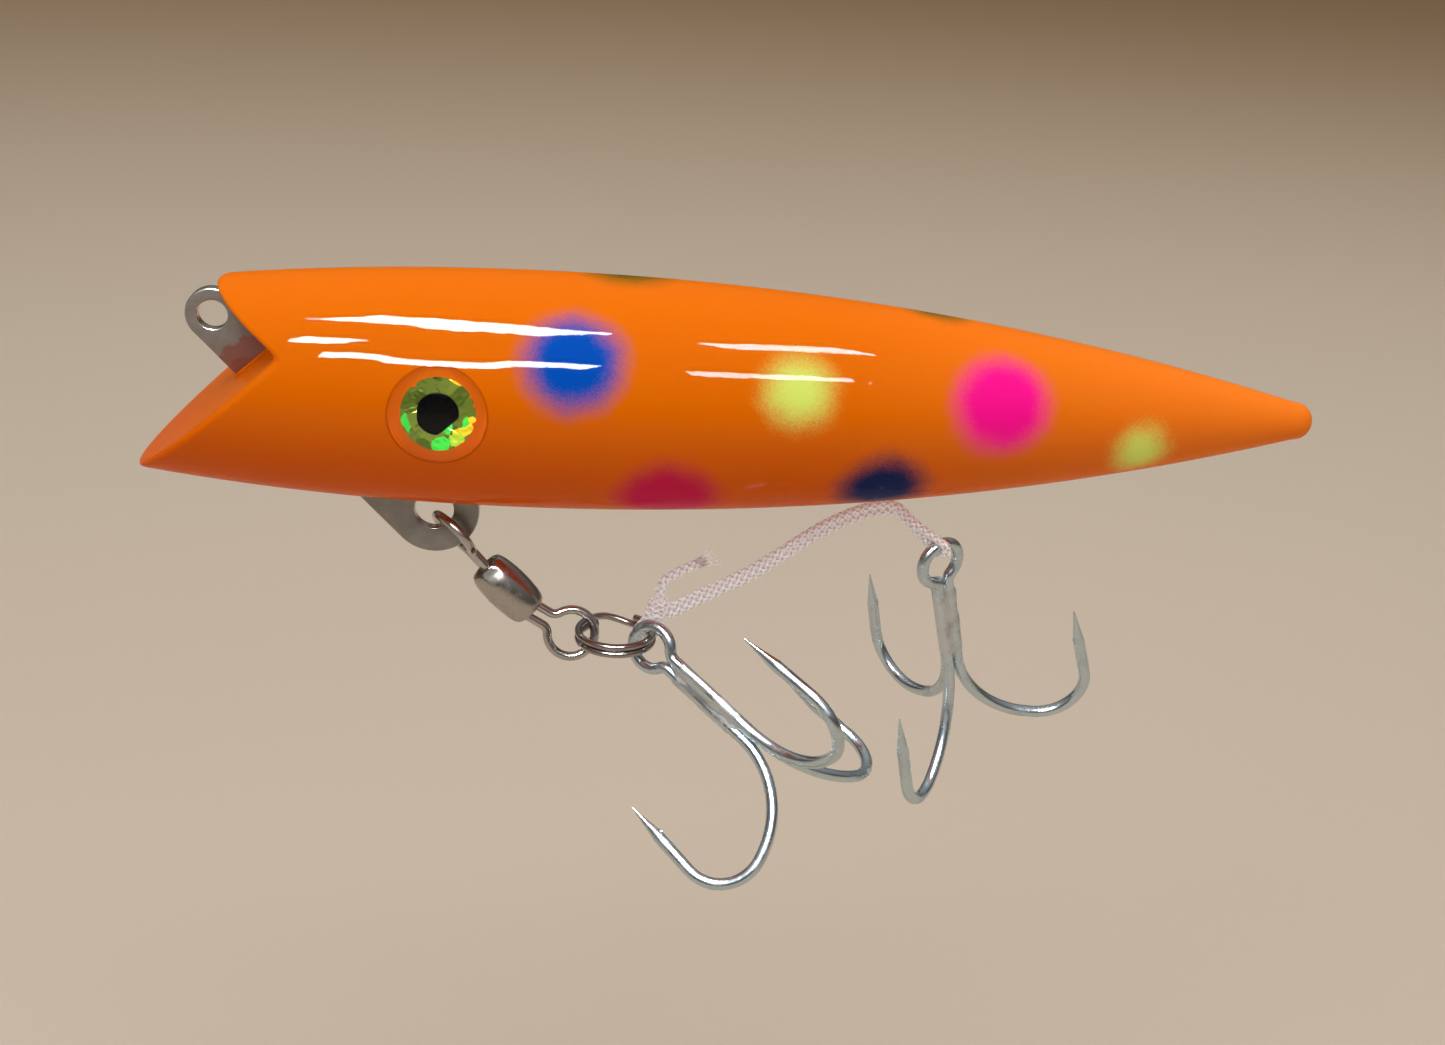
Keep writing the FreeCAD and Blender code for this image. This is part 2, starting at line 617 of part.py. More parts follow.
def build():
    """Return every sub-part by its node name."""
    blank = notched_blank()
    front_down, front_x = treble_frame(FRONT_TREBLE_AXIS, FRONT_SINGLE_SIDE)
    rear_down, rear_x = treble_frame(REAR_TREBLE_AXIS, REAR_SINGLE_SIDE)
    front_neck = front_treble_neck()
    crest = [CORD_BEND_REAR] + list(CORD_CREST) + [CORD_END]
    parts = {
        "plug_body": plug_body(blank),
        "hanger_plate": hanger_plate(),
        "slot_filler": slot_filler(blank),
        "plate_pin_front": plate_pin(blank, FRONT_PIN_AT),
        "plate_pin_rear": plate_pin(blank, REAR_PIN_AT),
        "swivel_upper_eye": swivel_upper_eye(),
        "swivel_barrel": swivel_barrel(),
        "swivel_lower_eye": swivel_lower_eye(),
        "split_ring": split_ring(),
        "cord_knot": cord_knot(),
        "cord_tag_end": cord_tag_end(),
        "cord_front": strand_pair([CORD_START, CORD_BEND_FRONT], 0.0, CORD_LINK_GAP),
        "cord_middle": strand_pair([CORD_BEND_FRONT, CORD_BEND_REAR],
                                   CORD_LINK_GAP, CORD_LINK_GAP),
        "cord_rear": strand_pair(crest, CORD_LINK_GAP, CORD_LINK_GAP),
        "cord_end_loop": cord_end_loop(),
    }
    for side, name in ((-1, "left"), (1, "right")):
        parts["eye_foil_" + name] = eye_foil(side)
        parts["eye_pupil_" + name] = eye_pupil(side)
        parts["eye_dome_" + name] = eye_dome(side)
    for end, neck, x_dir, down in (("front", front_neck, front_x, front_down),
                                   ("rear", REAR_TREBLE_NECK, rear_x, rear_down)):
        parts[end + "_double_hook"] = place(double_hook(), neck, x_dir, down)
        parts[end + "_single_hook"] = place(single_hook(), neck, x_dir, down)
        parts[end + "_hook_solder"] = place(hook_solder(), neck, x_dir, down)
    return parts


os.makedirs("parts", exist_ok=True)
for node, shape in build().items():
    shape.translate(V(-TOW_EYE_X, 0, -TOW_EYE_Z))
    shape.exportStep("parts/" + node + ".step")
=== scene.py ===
"""Looks for a painted wooden surface plug with a belly swivel and two treble hooks."""

import json
import math
import random

import bmesh
import bpy
import numpy as np
from mathutils import Matrix, Vector


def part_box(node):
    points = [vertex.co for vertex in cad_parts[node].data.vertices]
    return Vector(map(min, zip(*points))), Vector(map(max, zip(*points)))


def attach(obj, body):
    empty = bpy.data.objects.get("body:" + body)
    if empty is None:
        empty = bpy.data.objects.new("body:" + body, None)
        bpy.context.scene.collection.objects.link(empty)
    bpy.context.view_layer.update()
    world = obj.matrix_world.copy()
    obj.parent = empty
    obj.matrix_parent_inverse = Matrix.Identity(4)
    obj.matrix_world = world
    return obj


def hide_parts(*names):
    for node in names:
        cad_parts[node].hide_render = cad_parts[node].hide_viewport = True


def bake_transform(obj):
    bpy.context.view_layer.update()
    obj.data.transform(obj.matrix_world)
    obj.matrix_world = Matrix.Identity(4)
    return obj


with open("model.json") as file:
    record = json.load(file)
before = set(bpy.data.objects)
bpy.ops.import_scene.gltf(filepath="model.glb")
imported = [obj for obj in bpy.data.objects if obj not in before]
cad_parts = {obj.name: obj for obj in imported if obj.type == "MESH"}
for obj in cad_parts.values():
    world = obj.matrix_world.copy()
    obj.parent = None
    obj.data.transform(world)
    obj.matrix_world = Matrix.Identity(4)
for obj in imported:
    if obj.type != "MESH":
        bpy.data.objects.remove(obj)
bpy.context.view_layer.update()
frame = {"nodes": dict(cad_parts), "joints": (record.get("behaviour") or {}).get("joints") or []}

MM = 0.001

# Sizes are in millimetres. In the plug's own frame x runs from the tip of the lower jaw along the
# turning axis, y to the right and z up.
BODY_LENGTH = 180.0
# Places along x with the turned radius there; the tail's round end follows the last of them.
BODY_STATIONS = ((0.0, 13.7), (30.0, 16.9), (57.0, 17.85), (100.0, 16.2), (140.0, 11.0), (177.0, 2.8))
BODY_END_SLOPES = (0.1476, -0.268)
# The mouth is two flat cuts that meet at MOUTH_ROOT (x, z); a run is x per unit of z.
MOUTH_ROOT = (24.3, 8.0)
LOWER_JAW_RUN = 1 / math.tan(math.radians(42.1))
UPPER_JAW_RUN = 1 / math.tan(math.radians(33.3))
MOUTH_ROOT_SOFTNESS = 0.5
PAINT_FILM = 0.12
LIP_ROUND = 1.5

# The plate's two lugs: x, z, outer radius, hole radius.
PLATE_THICKNESS = 1.9
TOW_LUG = (12.4, 9.9, 4.1, 2.25)
BELLY_LUG = (45.3, -20.2, 7.0, 3.05)
PLATE_BEVEL = 0.22
SLOT_GAP = 0.08

# The socket's floor is measured from the turning axis, along the eye's own axis.
EYE_X, EYE_TILT = 47.3, math.radians(5.0)
SOCKET_RADIUS, SOCKET_FLOOR = 7.15, 16.2
FOIL_RADIUS = 5.5
CASTING_GAP = 0.06
# The clear coat swells round each eye: in full up to the flat radius, and not at all past the edge.
MOUND_HEIGHT, MOUND_FLAT, MOUND_EDGE = 0.26, 5.0, 13.0

# The pupil is round, with a flat cut across its lower rear and a slighter one in front.
PUPIL_RADIUS, PUPIL_CUT, PUPIL_FLANK = 3.15, 2.45, 2.95
PUPIL_CUT_TURN = math.radians(48)
PUPIL_CORNER_SHARPNESS = 9.0
PUPIL_SHIFT = 0.12
# Each ring of the pupil's skin: how far in from the edge, and how high over the socket's floor.
PUPIL_STEPS = ((0.0, 0.17), (0.0, 0.24), (0.12, 0.30), (0.6, 0.31), (1.5, 0.31), (2.4, 0.31))
MOULD_RING_PLACE = (0.45, 0.9)
MOULD_RING_RADIUS, MOULD_RING_WIDTH, MOULD_RING_HEIGHT = 1.15, 0.14, 0.07

# Half of the barrel's outline, from the bore at one end to its waist: along the axis, radius.
BARREL_PROFILE = ((5.02, 1.97), (5.13, 2.10), (5.14, 2.34), (5.07, 2.60), (4.84, 2.84), (4.40, 3.04),
                  (3.80, 3.20), (3.00, 3.34), (2.00, 3.44), (1.00, 3.50), (0.0, 3.52))
# The flat that is pressed into the barrel's upper end, on its front.
STAKE_FRONT = Vector((0.0, -0.93, 0.37))
STAKE_RADIUS, STAKE_SLOPE, STAKE_TOP, STAKE_FOOT = 2.50, 0.30, -5.1, -3.4

BRAZE_RUNOUT, BRAZE_TAPER, BRAZE_LUMP = 0.5, 1.7, 0.014
BRAZE_LOBE_DEPTH = 0.105

YARNS, YARN_PITCH = 8, 5.4
STRAND_RADIUS, HITCH_RADIUS, COIL_RADIUS, TAG_RADIUS = 0.66, 0.62, 0.60, 0.82
BIGHT_WRAP, HITCH_WRAP, COIL_WRAP = 1.72, 1.85, 1.12
HITCH_ADVANCE = 1.25
STRAND_SPREAD = 0.60

# Low enough for the trailing hook to hang free in every pose.
FLOOR_BELOW = -172.0
FLOOR_HALF = 12.0

# The camera stands off the left flank, a little above it.
CAMERA_PLACE = (74.59, -308.65, 111.09)
CAMERA_AIM = (90.09, 0.0, -20.81)
CAMERA_ROLL = math.radians(3.36)
CAMERA_LENS, CAMERA_SENSOR = 53.56, 36.0

# Name, place from the middle of the plug and size in metres, power in watts. A pane shows only as a
# highlight, and a soft light only lights.
LIGHTS_MIDDLE = 85.0
LIGHTS = (
    ("soft_top", (0.05, -0.30, 1.00), (1.3, 0.8), 7.8),
    ("soft_left", (-0.75, -0.55, 0.75), (0.7, 0.5), 3.0),
    ("soft_right", (0.9, -0.9, 0.6), (0.9, 0.6), 3.0),
    ("soft_back", (0.1, 0.9, 0.9), (1.2, 0.5), 3.2),
    ("pane_upper", (-0.145, -0.165, 0.935), (0.33, 0.13), 17.0),
    ("pane_lower", (-0.150, -0.68, 0.66), (0.31, 0.10), 12.5),
    ("pane_left", (-0.300, -0.46, 0.81), (0.075, 0.09), 3.0),
    ("pane_right", (0.215, -0.25, 0.92), (0.20, 0.09), 4.6),
    ("pane_right_low", (0.215, -0.70, 0.64), (0.20, 0.07), 3.4),
)
WORLD_STRENGTH = 0.56

X_AXIS = Vector((1, 0, 0))

body_low, body_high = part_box("plug_body")
plug_origin = Vector((body_high.x - BODY_LENGTH * MM, 0.0, (body_low.z + body_high.z) / 2))


def plug_point(x, y, z):
    """A point of the plug's own frame, in the scene's metres."""
    return plug_origin + Vector((x, y, z)) * MM


CORD_START = plug_point(82.2, 2.9, -38.1)
CORD_CREST = [plug_point(112.3, 1.3, -18.5), plug_point(117.0, 0.8, -17.6)]
KNOT = plug_point(81.0, 2.9, -37.6)
TAG_PATH = [plug_point(81.0, 2.9, -35.5), plug_point(81.3, 2.7, -32.8),
            plug_point(83.8, 2.6, -30.7), plug_point(87.3, 2.4, -28.8)]
TAG_TIP = TAG_PATH[-1]


def joint(name):
    """A joint's place and direction."""
    found = next(j for j in frame["joints"] if j["name"] == name)
    return Vector(found.get("pos_m", (0, 0, 0))), Vector(found["axis"]).normalized()


def install(obj, slot, body, *nodes):
    """Hang a piece on a body, and hide the CAD nodes that it stands in for; the slot is not used."""
    if nodes:
        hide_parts(*nodes)
    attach(obj, body)


# ------------ mesh helpers

def around(count):
    """Angles evenly spaced round a circle."""
    return [2 * math.pi * k / count for k in range(count)]


def add_object(name, data):
    """A new object in the scene."""
    obj = bpy.data.objects.new(name, data)
    bpy.context.scene.collection.objects.link(obj)
    return obj


def tidy_faces(mesh, weld=0.0):
    """Turn all faces outward, after welding points closer than a distance."""
    work = bmesh.new()
    work.from_mesh(mesh)
    if weld:
        bmesh.ops.remove_doubles(work, verts=work.verts, dist=weld)
    bmesh.ops.recalc_face_normals(work, faces=work.faces)
    work.to_mesh(mesh)
    work.free()


def add_mesh(name, points, faces, material, smooth=True):
    """A new object from points in metres."""
    mesh = bpy.data.meshes.new(name)
    mesh.from_pydata([tuple(p) for p in points], [], faces)
    mesh.validate()
    tidy_faces(mesh)
    mesh.polygons.foreach_set("use_smooth", [smooth] * len(mesh.polygons))
    mesh.materials.append(material)
    return add_object(name, mesh)


def grid_faces(rings, columns, first=0, closed=False):
    """Quads between rings of points laid one after another; closed joins the last to the first."""
    faces = []
    for r in range(rings if closed else rings - 1):
        here = first + r * columns
        there = first + (r + 1) % rings * columns
        for c in range(columns):
            n = (c + 1) % columns
            faces.append((here + c, here + n, there + n, there + c))
    return faces


def capped_grid(name, rows, material, smooth=True):
    """A closed body from rings of points; the ends are closed with fans to their middles."""
    columns = len(rows[0])
    points = [p for row in rows for p in row]
    faces = grid_faces(len(rows), columns)
    for row, start in ((rows[0], 0), (rows[-1], (len(rows) - 1) * columns)):
        middle = sum((Vector(p) for p in row), Vector()) / columns
        points.append(middle)
        hub = len(points) - 1
        faces += [(start + c, start + (c + 1) % columns, hub) for c in range(columns)]
    return add_mesh(name, points, faces, material, smooth)


def smooth_by_angle(obj, degrees):
    """Smooth shading with sharp edges kept where faces meet at more than an angle."""
    mesh = obj.data
    mesh.polygons.foreach_set("use_smooth", [True] * len(mesh.polygons))
    mesh.set_sharp_from_angle(angle=math.radians(degrees))


def frames_along(path):
    """A path's points, and at each its tangent, side and up, carried along without twist."""
    points = [Vector(p) for p in path]
    tangents = []
    for i in range(len(points)):
        step = points[min(i + 1, len(points) - 1)] - points[max(i - 1, 0)]
        tangents.append(step.normalized())
    start = Vector((0, 0, 1)) if abs(tangents[0].z) < 0.9 else X_AXIS
    side = tangents[0].cross(start).normalized()
    frames = []
    for tangent in tangents:
        side = (side - tangent * side.dot(tangent)).normalized()
        frames.append((tangent, side, tangent.cross(side)))
    return points, frames


def tube_rows(path, radius, sides):
    """Rings of a round tube along a path."""
    points, frames = frames_along(path)
    return [[point + (side * math.cos(a) + up * math.sin(a)) * radius for a in around(sides)]
            for point, (_, side, up) in zip(points, frames)]


def catmull(a, b, c, d, t):
    """A point between b and c on the Catmull-Rom curve through a, b, c, d."""
    return 0.5 * ((2 * b) + (c - a) * t + (2 * a - 5 * b + 4 * c - d) * t ** 2
                  + (3 * b - a - 3 * c + d) * t ** 3)


def walked(points):
    """The length walked along a path at each of its points."""
    lengths = [0.0]
    for a, b in zip(points, points[1:]):
        lengths.append(lengths[-1] + (b - a).length)
    return lengths


def resample(points, spacing, steps=24):
    """Points evenly spaced along a smooth curve through the given ones."""
    knots = [Vector(p) for p in points]
    dense = []
    for i in range(len(knots) - 1):
        before = knots[max(i - 1, 0)]
        after = knots[min(i + 2, len(knots) - 1)]
        dense += [catmull(before, knots[i], knots[i + 1], after, k / steps) for k in range(steps)]
    dense.append(knots[-1])
    lengths = walked(dense)
    count = max(3, int(lengths[-1] / spacing) + 1)
    out, j = [], 0
    for i in range(count):
        want = lengths[-1] * i / (count - 1)
        while j < len(lengths) - 2 and lengths[j + 1] < want:
            j += 1
        span = lengths[j + 1] - lengths[j]
        out.append(dense[j].lerp(dense[j + 1], (want - lengths[j]) / span if span else 0.0))
    return out


# ------------ material helpers

class Look:
    """A node material under construction. Noise scales are per metre."""

    def __init__(self, name):
        self.material = bpy.data.materials.new(name)
        self.material.use_nodes = True
        self.tree = self.material.node_tree
        self.tree.nodes.clear()
        self.output = self.tree.nodes.new("ShaderNodeOutputMaterial")

    def node(self, kind, settings=None, **inputs):
        """Add a node. Inputs are named with underscores for spaces; in0, in1 go by number."""
        made = self.tree.nodes.new("ShaderNode" + kind)
        for key, value in (settings or {}).items():
            setattr(made, key, value)
        for key, value in inputs.items():
            numbered = key.startswith("in") and key[2:].isdigit()
            self.feed(made.inputs[int(key[2:]) if numbered else key.replace("_", " ")], value)
        return made

    def feed(self, socket, value):
        """Link a socket, or set its value."""
        if isinstance(value, bpy.types.NodeSocket):
            self.tree.links.new(value, socket)
        else:
            socket.default_value = value

    def math(self, operation, a, b=0.0, clamp=False):
        """Arithmetic on one or two numbers."""
        made = self.node("Math", {"operation": operation, "use_clamp": clamp}, in0=a, in1=b)
        return made.outputs[0]

    def vector(self, operation, a, b=(0, 0, 0)):
        """Arithmetic on one or two vectors; some operations give a number."""
        made = self.node("VectorMath", {"operation": operation}, in0=a, in1=b)
        number = operation in ("DISTANCE", "LENGTH", "DOT_PRODUCT")
        return made.outputs[1 if number else 0]

    def place(self):
        """Coordinates fixed to the piece, in the row frame."""
        return self.node("TexCoord").outputs["Object"]

    def split(self, vector):
        """The x, y and z of a vector."""
        return tuple(self.node("SeparateXYZ", Vector=vector).outputs)

    def both_sides(self, where):
        """Coordinates with y taken without its sign, so that the two flanks look alike."""
        x, y, z = self.split(where)
        return self.node("CombineXYZ", X=x, Y=self.math("ABSOLUTE", y), Z=z).outputs[0]

    def drawn_out(self, where, share, turn=0.0):
        """Coordinates squeezed along x, after a turn about y, so that noise runs in streaks."""
        made = self.node("Mapping", Vector=where, Rotation=(0, turn, 0), Scale=(share, 1, 1))
        return made.outputs[0]

    def noise(self, where, scale, detail=2.0, rough=0.5):
        """Noise between 0 and 1."""
        made = self.node("TexNoise", Vector=where, Scale=scale, Detail=detail, Roughness=rough)
        return made.outputs["Fac"]

    def about_zero(self, noise, size):
        """Noise moved to lie about zero and scaled to a size."""
        return self.math("MULTIPLY", self.math("SUBTRACT", noise, 0.5), size)

    def ramp(self, value, low, high, to_low=0.0, to_high=1.0, smooth=False):
        """Map a range of values to another, clamped."""
        kind = "SMOOTHSTEP" if smooth else "LINEAR"
        made = self.node("MapRange", {"interpolation_type": kind}, Value=value, From_Min=low,
                         From_Max=high, To_Min=to_low, To_Max=to_high)
        return made.outputs["Result"]

    def mix(self, share, a, b):
        """Mix two colours."""
        made = self.node("Mix", {"data_type": "RGBA"}, in0=share, in6=a, in7=b)
        return made.outputs[2]

    def bump(self, height, distance, strength=1.0):
        """A surface normal from a height; the distance is in metres."""
        return self.node("Bump", Height=height, Distance=distance, Strength=strength).outputs[0]

    def surface(self, **inputs):
        """Add the main shader and connect it."""
        made = self.node("BsdfPrincipled", **inputs)
        self.tree.links.new(made.outputs[0], self.output.inputs[0])


# ------------ materials

BLUE, DEEP_BLUE = (0.0, 0.080, 0.50, 1), (0.0, 0.012, 0.095, 1)
PINK, DEEP_PINK = (1.0, 0.006, 0.29, 1), (0.62, 0.003, 0.07, 1)
YELLOW, OLIVE = (0.74, 0.86, 0.16, 1), (0.16, 0.10, 0.003, 1)
# The second orange is the body's colour in painted shade, used towards the bottom.
ORANGE, ORANGE_SHADED = (0.80, 0.155, 0.0, 1), (0.71, 0.096, 0.0, 1)
# The seam colour is painted shade for the groove round each socket.
ORANGE_TAIL, SOCKET_GROOVE_SHADE = (0.94, 0.21, 0.015, 1), (0.25, 0.02, 0.0, 1)
FOIL_DARK, FOIL_PALE = (0.13, 0.22, 0.03, 1), (0.32, 0.45, 0.08, 1)
FOIL_GREEN, FOIL_GOLD = (0.08, 0.95, 0.10, 1), (1.0, 0.80, 0.04, 1)
BLACK, BLACK_PALE = (0.0008, 0.0009, 0.002, 1), (0.003, 0.0035, 0.006, 1)
STEEL_DARK, STEEL_DULL = (0.14, 0.132, 0.122, 1), (0.36, 0.345, 0.325, 1)
STEEL_EDGE, STEEL_FILM = (0.62, 0.60, 0.57, 1), (0.24, 0.045, 0.018, 1)
# This dark colour is painted shade for the inside of holes.
HOLE_SHADE = (0.012, 0.010, 0.009, 1)
# The third nylon colour is painted shade between the yarns.
NYLON, NYLON_DULL, NYLON_SHADE = (0.95, 0.92, 0.915, 1), (0.88, 0.82, 0.815, 1), (0.56, 0.47, 0.475, 1)
NYLON_DIRT, NYLON_BURNT = (0.78, 0.60, 0.56, 1), (0.20, 0.05, 0.02, 1)
PAPER_WARM, PAPER_PALE = (0.54, 0.445, 0.345, 1), (0.575, 0.475, 0.37, 1)
# The far paper colour is painted shade for the back of the floor.
PAPER_FAR_SHADE = (0.36, 0.22, 0.10, 1)
SKY_LOW, SKY_HIGH = (0.15, 0.13, 0.115, 1), (0.82, 0.81, 0.80, 1)
BACKDROP = (0.95, 0.84, 0.72, 1)

# Centre x, degrees above the horizontal, solid radius, soft width, colour. The flank's spots are on
# both sides; the top ones are only on the right.
FLANK_SPOTS = (
    (66.5, 33.0, 3.8, 5.8, BLUE),
    (99.3, 24.0, 1.4, 6.2, YELLOW),
    (129.8, 22.0, 4.3, 5.2, PINK),
    (81.0, -42.0, 4.4, 5.8, DEEP_PINK),
    (113.0, -38.0, 3.4, 6.0, DEEP_BLUE),
    (152.0, -20.0, 0.8, 5.6, YELLOW),
)
TOP_SPOTS = (
    (74.0, 74.0, 2.0, 7.5, OLIVE),
    (121.0, 74.0, 1.0, 6.0, OLIVE),
)

# Painted glints: where the foil is made to catch the light, from the eye's middle along x and up.
FOIL_GLINTS = ((0.4, -4.6), (3.2, -3.4), (4.6, -1.2))

# Where paint has crept up the plate in the mouth, and how far.
FILM_FOOT, FILM_REACH = (17.9, 0, 2.0), 4.3


def metal_look(name, colour, dark, roughness, grain_scale, grain_depth, patina=0.5, shade_axis=None):
    """Worn metal: two tones in broad patches, fine scratches, uneven gloss.

    Faces square to the given direction get painted shade, dark like the inside of a deep hole.
    """
    look = Look(name)
    where = look.place()
    patches = look.ramp(look.noise(where, 260.0, 3.0, 0.55), 0.40, 0.70, smooth=True)
    fine = look.noise(where, grain_scale, 5.0, 0.65)
    tone = look.mix(look.math("MULTIPLY", patches, patina), colour, dark)
    rough = look.ramp(look.math("ADD", patches, fine), 0.4, 1.5, roughness * 0.7, roughness * 1.5)
    # Painted shade: faces along the given axis are made dark, as in a deep hole.
    if shade_axis is not None:
        normal = look.node("NewGeometry").outputs["True Normal"]
        facing = look.math("ABSOLUTE", look.vector("DOT_PRODUCT", normal, shade_axis))
        tone = look.mix(look.ramp(facing, 0.985, 0.995), tone, HOLE_SHADE)
    look.surface(Base_Color=tone, Metallic=1.0, Roughness=rough,
                 Normal=look.bump(fine, grain_depth * MM))
    return look.material


def body_radius(x):
    """Radius of the turned body at x (number or array), from a spline through its stations."""
    xs, ys = np.array(BODY_STATIONS).T
    count = len(xs)
    steps = np.diff(xs)
    slopes = np.concatenate([BODY_END_SLOPES[:1], np.diff(ys) / steps, BODY_END_SLOPES[1:]])
    system = np.diag(2.0 * (np.append(steps, 0) + np.append(0, steps)))
    system += np.diag(steps, 1) + np.diag(steps, -1)
    bend = np.linalg.solve(system, 6 * np.diff(slopes))
    x = np.asarray(x, float)
    i = np.clip(np.searchsorted(xs, x) - 1, 0, count - 2)
    a, b, h = xs[i + 1] - x, x - xs[i], steps[i]
    return (bend[i] * a ** 3 + bend[i + 1] * b ** 3) / (6 * h) \
        + (ys[i] / h - bend[i] * h / 6) * a + (ys[i + 1] / h - bend[i + 1] * h / 6) * b


def spot_centre(x, degrees):
    """A point on the body's right flank at an angle above the horizontal."""
    radius = float(body_radius(x))
    turn = math.radians(degrees)
    return plug_point(x, radius * math.cos(turn), radius * math.sin(turn))


def add_spots(look, where, colour):
    """Airbrushed spots over a colour, their edges broken up by spatter."""
    speck = look.about_zero(look.noise(where, 3400.0, 2.0, 0.8), 3.4 * MM)
    drift = look.about_zero(look.noise(where, 300.0), 1.6 * MM)
    wobble = look.math("ADD", speck, drift)
    for spots, base in ((FLANK_SPOTS, look.both_sides(where)), (TOP_SPOTS, where)):
        for x, degrees, solid, soft, tint in spots:
            away = look.vector("DISTANCE", base, spot_centre(x, degrees))
            edge = look.math("ADD", away, wobble)
            share = look.ramp(edge, solid * MM, (solid + soft) * MM, 1.0, 0.0, smooth=True)
            colour = look.mix(share, colour, tint)
    return colour


def add_sockets(look, where, colour):
    """Painted shade in the groove round each socket over a colour; also gives where the inside of a
    socket is, for the painted glow there.
    """
    # The inside of each socket is gathered here so that it can glow: painted light, as if the clear
    # resin gathered light.
    inside = 0.0
    for side in (-1, 1):
        level = look.vector("SUBTRACT", where, plug_point(EYE_X, 0, 0))
        along = look.vector("DOT_PRODUCT", level, eye_frame(side)[0])
        this_side = look.ramp(along, 0.0, MM)
        reach = look.math("POWER", look.vector("LENGTH", level), 2.0)
        lateral = look.math("SQRT", look.math("SUBTRACT", reach, look.math("POWER", along, 2.0)))
        near = look.ramp(lateral, (SOCKET_RADIUS + 0.03) * MM, (SOCKET_RADIUS + 0.06) * MM, 1.0, 0.0)
        inside = look.math("ADD", inside, look.math("MULTIPLY", near, this_side))
        # Painted shade: a dark line in the groove just outside each socket's edge.
        groove_shade_share = look.math("ABSOLUTE", look.math("SUBTRACT", lateral, (SOCKET_RADIUS + 0.10) * MM))
        groove_shade_share = look.math("MULTIPLY", look.ramp(groove_shade_share, 0.08 * MM, 0.24 * MM, 0.5, 0.0), this_side)
        colour = look.mix(groove_shade_share, colour, SOCKET_GROOVE_SHADE)
    return colour, inside


def painted_look(name):
    """Fluorescent orange with airbrushed spots under a thick clear coat; painted shade darkens it
    towards the bottom, and the socket floors glow as painted light.
    """
    look = Look(name)
    where = look.place()
    along, _, up = look.split(where)
    # Painted shade: the orange is darker towards the bottom, where less light falls, with random clouds
    # of tone mixed in.
    height = look.ramp(up, plug_point(0, 0, -16).z, plug_point(0, 0, 9).z, smooth=True)
    cloud = look.noise(look.drawn_out(where, 0.12), 260.0, 3.0)
    painted_light_and_cloud = look.math("ADD", height, look.math("MULTIPLY", cloud, 0.12), clamp=True)
    colour = look.mix(painted_light_and_cloud, ORANGE_SHADED, ORANGE)
    tail = look.ramp(along, plug_point(105, 0, 0).x, plug_point(168, 0, 0).x, 0.0, 0.75)
    colour = look.mix(tail, colour, ORANGE_TAIL)
    colour = add_spots(look, where, colour)
    colour, socket = add_sockets(look, where, colour)
    waves = look.noise(look.drawn_out(where, 0.07), 520.0)
    orange_peel = look.noise(where, 240.0, 1.0)
    coat_height = look.math("ADD", look.math("MULTIPLY", waves, 0.5), orange_peel)
    # The socket floors glow as painted light.
    look.surface(Base_Color=colour, Roughness=look.ramp(cloud, 0.3, 0.7, 0.30, 0.42),
                 Emission_Color=colour, Emission_Strength=look.math("MULTIPLY", socket, 0.34),
                 Specular_IOR_Level=0.0, Coat_Weight=0.33, Coat_Roughness=0.015, Coat_IOR=1.36,
                 Coat_Normal=look.bump(coat_height, 0.04 * MM, 0.9),
                 Subsurface_Weight=0.08, Subsurface_Radius=(2.0 * MM, 0.7 * MM, 0.2 * MM),
                 Subsurface_Scale=1.0)
    return look.material


def clear_look(name):
    """Clear resin without refraction: what lies under it shows, with gloss on top."""
    look = Look(name)
    normal = look.bump(look.noise(look.place(), 240.0, 1.0), 0.04 * MM, 0.9)
    clear = look.node("BsdfTransparent", Color=(0.985, 0.975, 0.95, 1))
    gloss = look.node("BsdfGlossy", Color=(1, 1, 1, 1), Roughness=0.015, Normal=normal)
    fresnel = look.node("Fresnel", IOR=1.25, Normal=normal)
    mixed = look.node("MixShader", in0=fresnel.outputs[0], in1=clear.outputs[0], in2=gloss.outputs[0])
    look.tree.links.new(mixed.outputs[0], look.output.inputs[0])
    return look.material


def foil_look(name):
    """Cracked holographic foil: each flake is tilted its own way and tinted green to gold, with painted
    glints and a faint painted glow.
    """
    look = Look(name)
    where = look.place()
    stir = look.node("TexNoise", Vector=where, Scale=500.0).outputs["Color"]
    bent = look.vector("ADD", where, look.vector("MULTIPLY", stir, (0.9 * MM,) * 3))
    flake = look.node("TexVoronoi", Vector=bent, Scale=430.0).outputs["Color"]
    shade, hue, glint = look.node("SeparateColor", Color=flake).outputs
    base = look.mix(look.ramp(shade, 0.1, 0.9), FOIL_DARK, FOIL_PALE)
    flash = look.mix(look.ramp(hue, 0.3, 0.7), FOIL_GREEN, FOIL_GOLD)
    mirrored = look.both_sides(where)
    # Painted highlights: the foil is brightened round the glint spots.
    for along, height in FOIL_GLINTS:
        spot = plug_point(EYE_X + along, SOCKET_FLOOR, SOCKET_FLOOR * math.sin(EYE_TILT) + height)
        away = look.vector("DISTANCE", mirrored, spot)
        glint = look.math("ADD", glint, look.ramp(away, 0.8 * MM, 1.9 * MM, 0.7, 0.0))
    bright = look.ramp(glint, 0.80, 0.86)
    colour = look.mix(bright, base, flash)
    tilt = look.vector("MULTIPLY", look.vector("SUBTRACT", flake, (0.5, 0.5, 0.5)), (0.5, 0.5, 0.5))
    normal = look.vector("ADD", look.node("NewGeometry").outputs["Normal"], tilt)
    # The foil glows a little all over and more at the glints: painted light.
    look.surface(Base_Color=colour, Metallic=0.85, Roughness=0.24,
                 Normal=look.vector("NORMALIZE", normal), Emission_Color=colour,
                 Emission_Strength=look.math("ADD", look.math("MULTIPLY", bright, 0.35), 0.16))
    return look.material


def black_look(name):
    """Glossy black print with faint mottling."""
    look = Look(name)
    mottle = look.noise(look.place(), 900.0, 3.0)
    look.surface(Base_Color=look.mix(mottle, BLACK, BLACK_PALE), Specular_IOR_Level=0.08,
                 Roughness=look.ramp(mottle, 0.3, 0.7, 0.22, 0.36),
                 Normal=look.bump(mottle, 0.005 * MM))
    return look.material


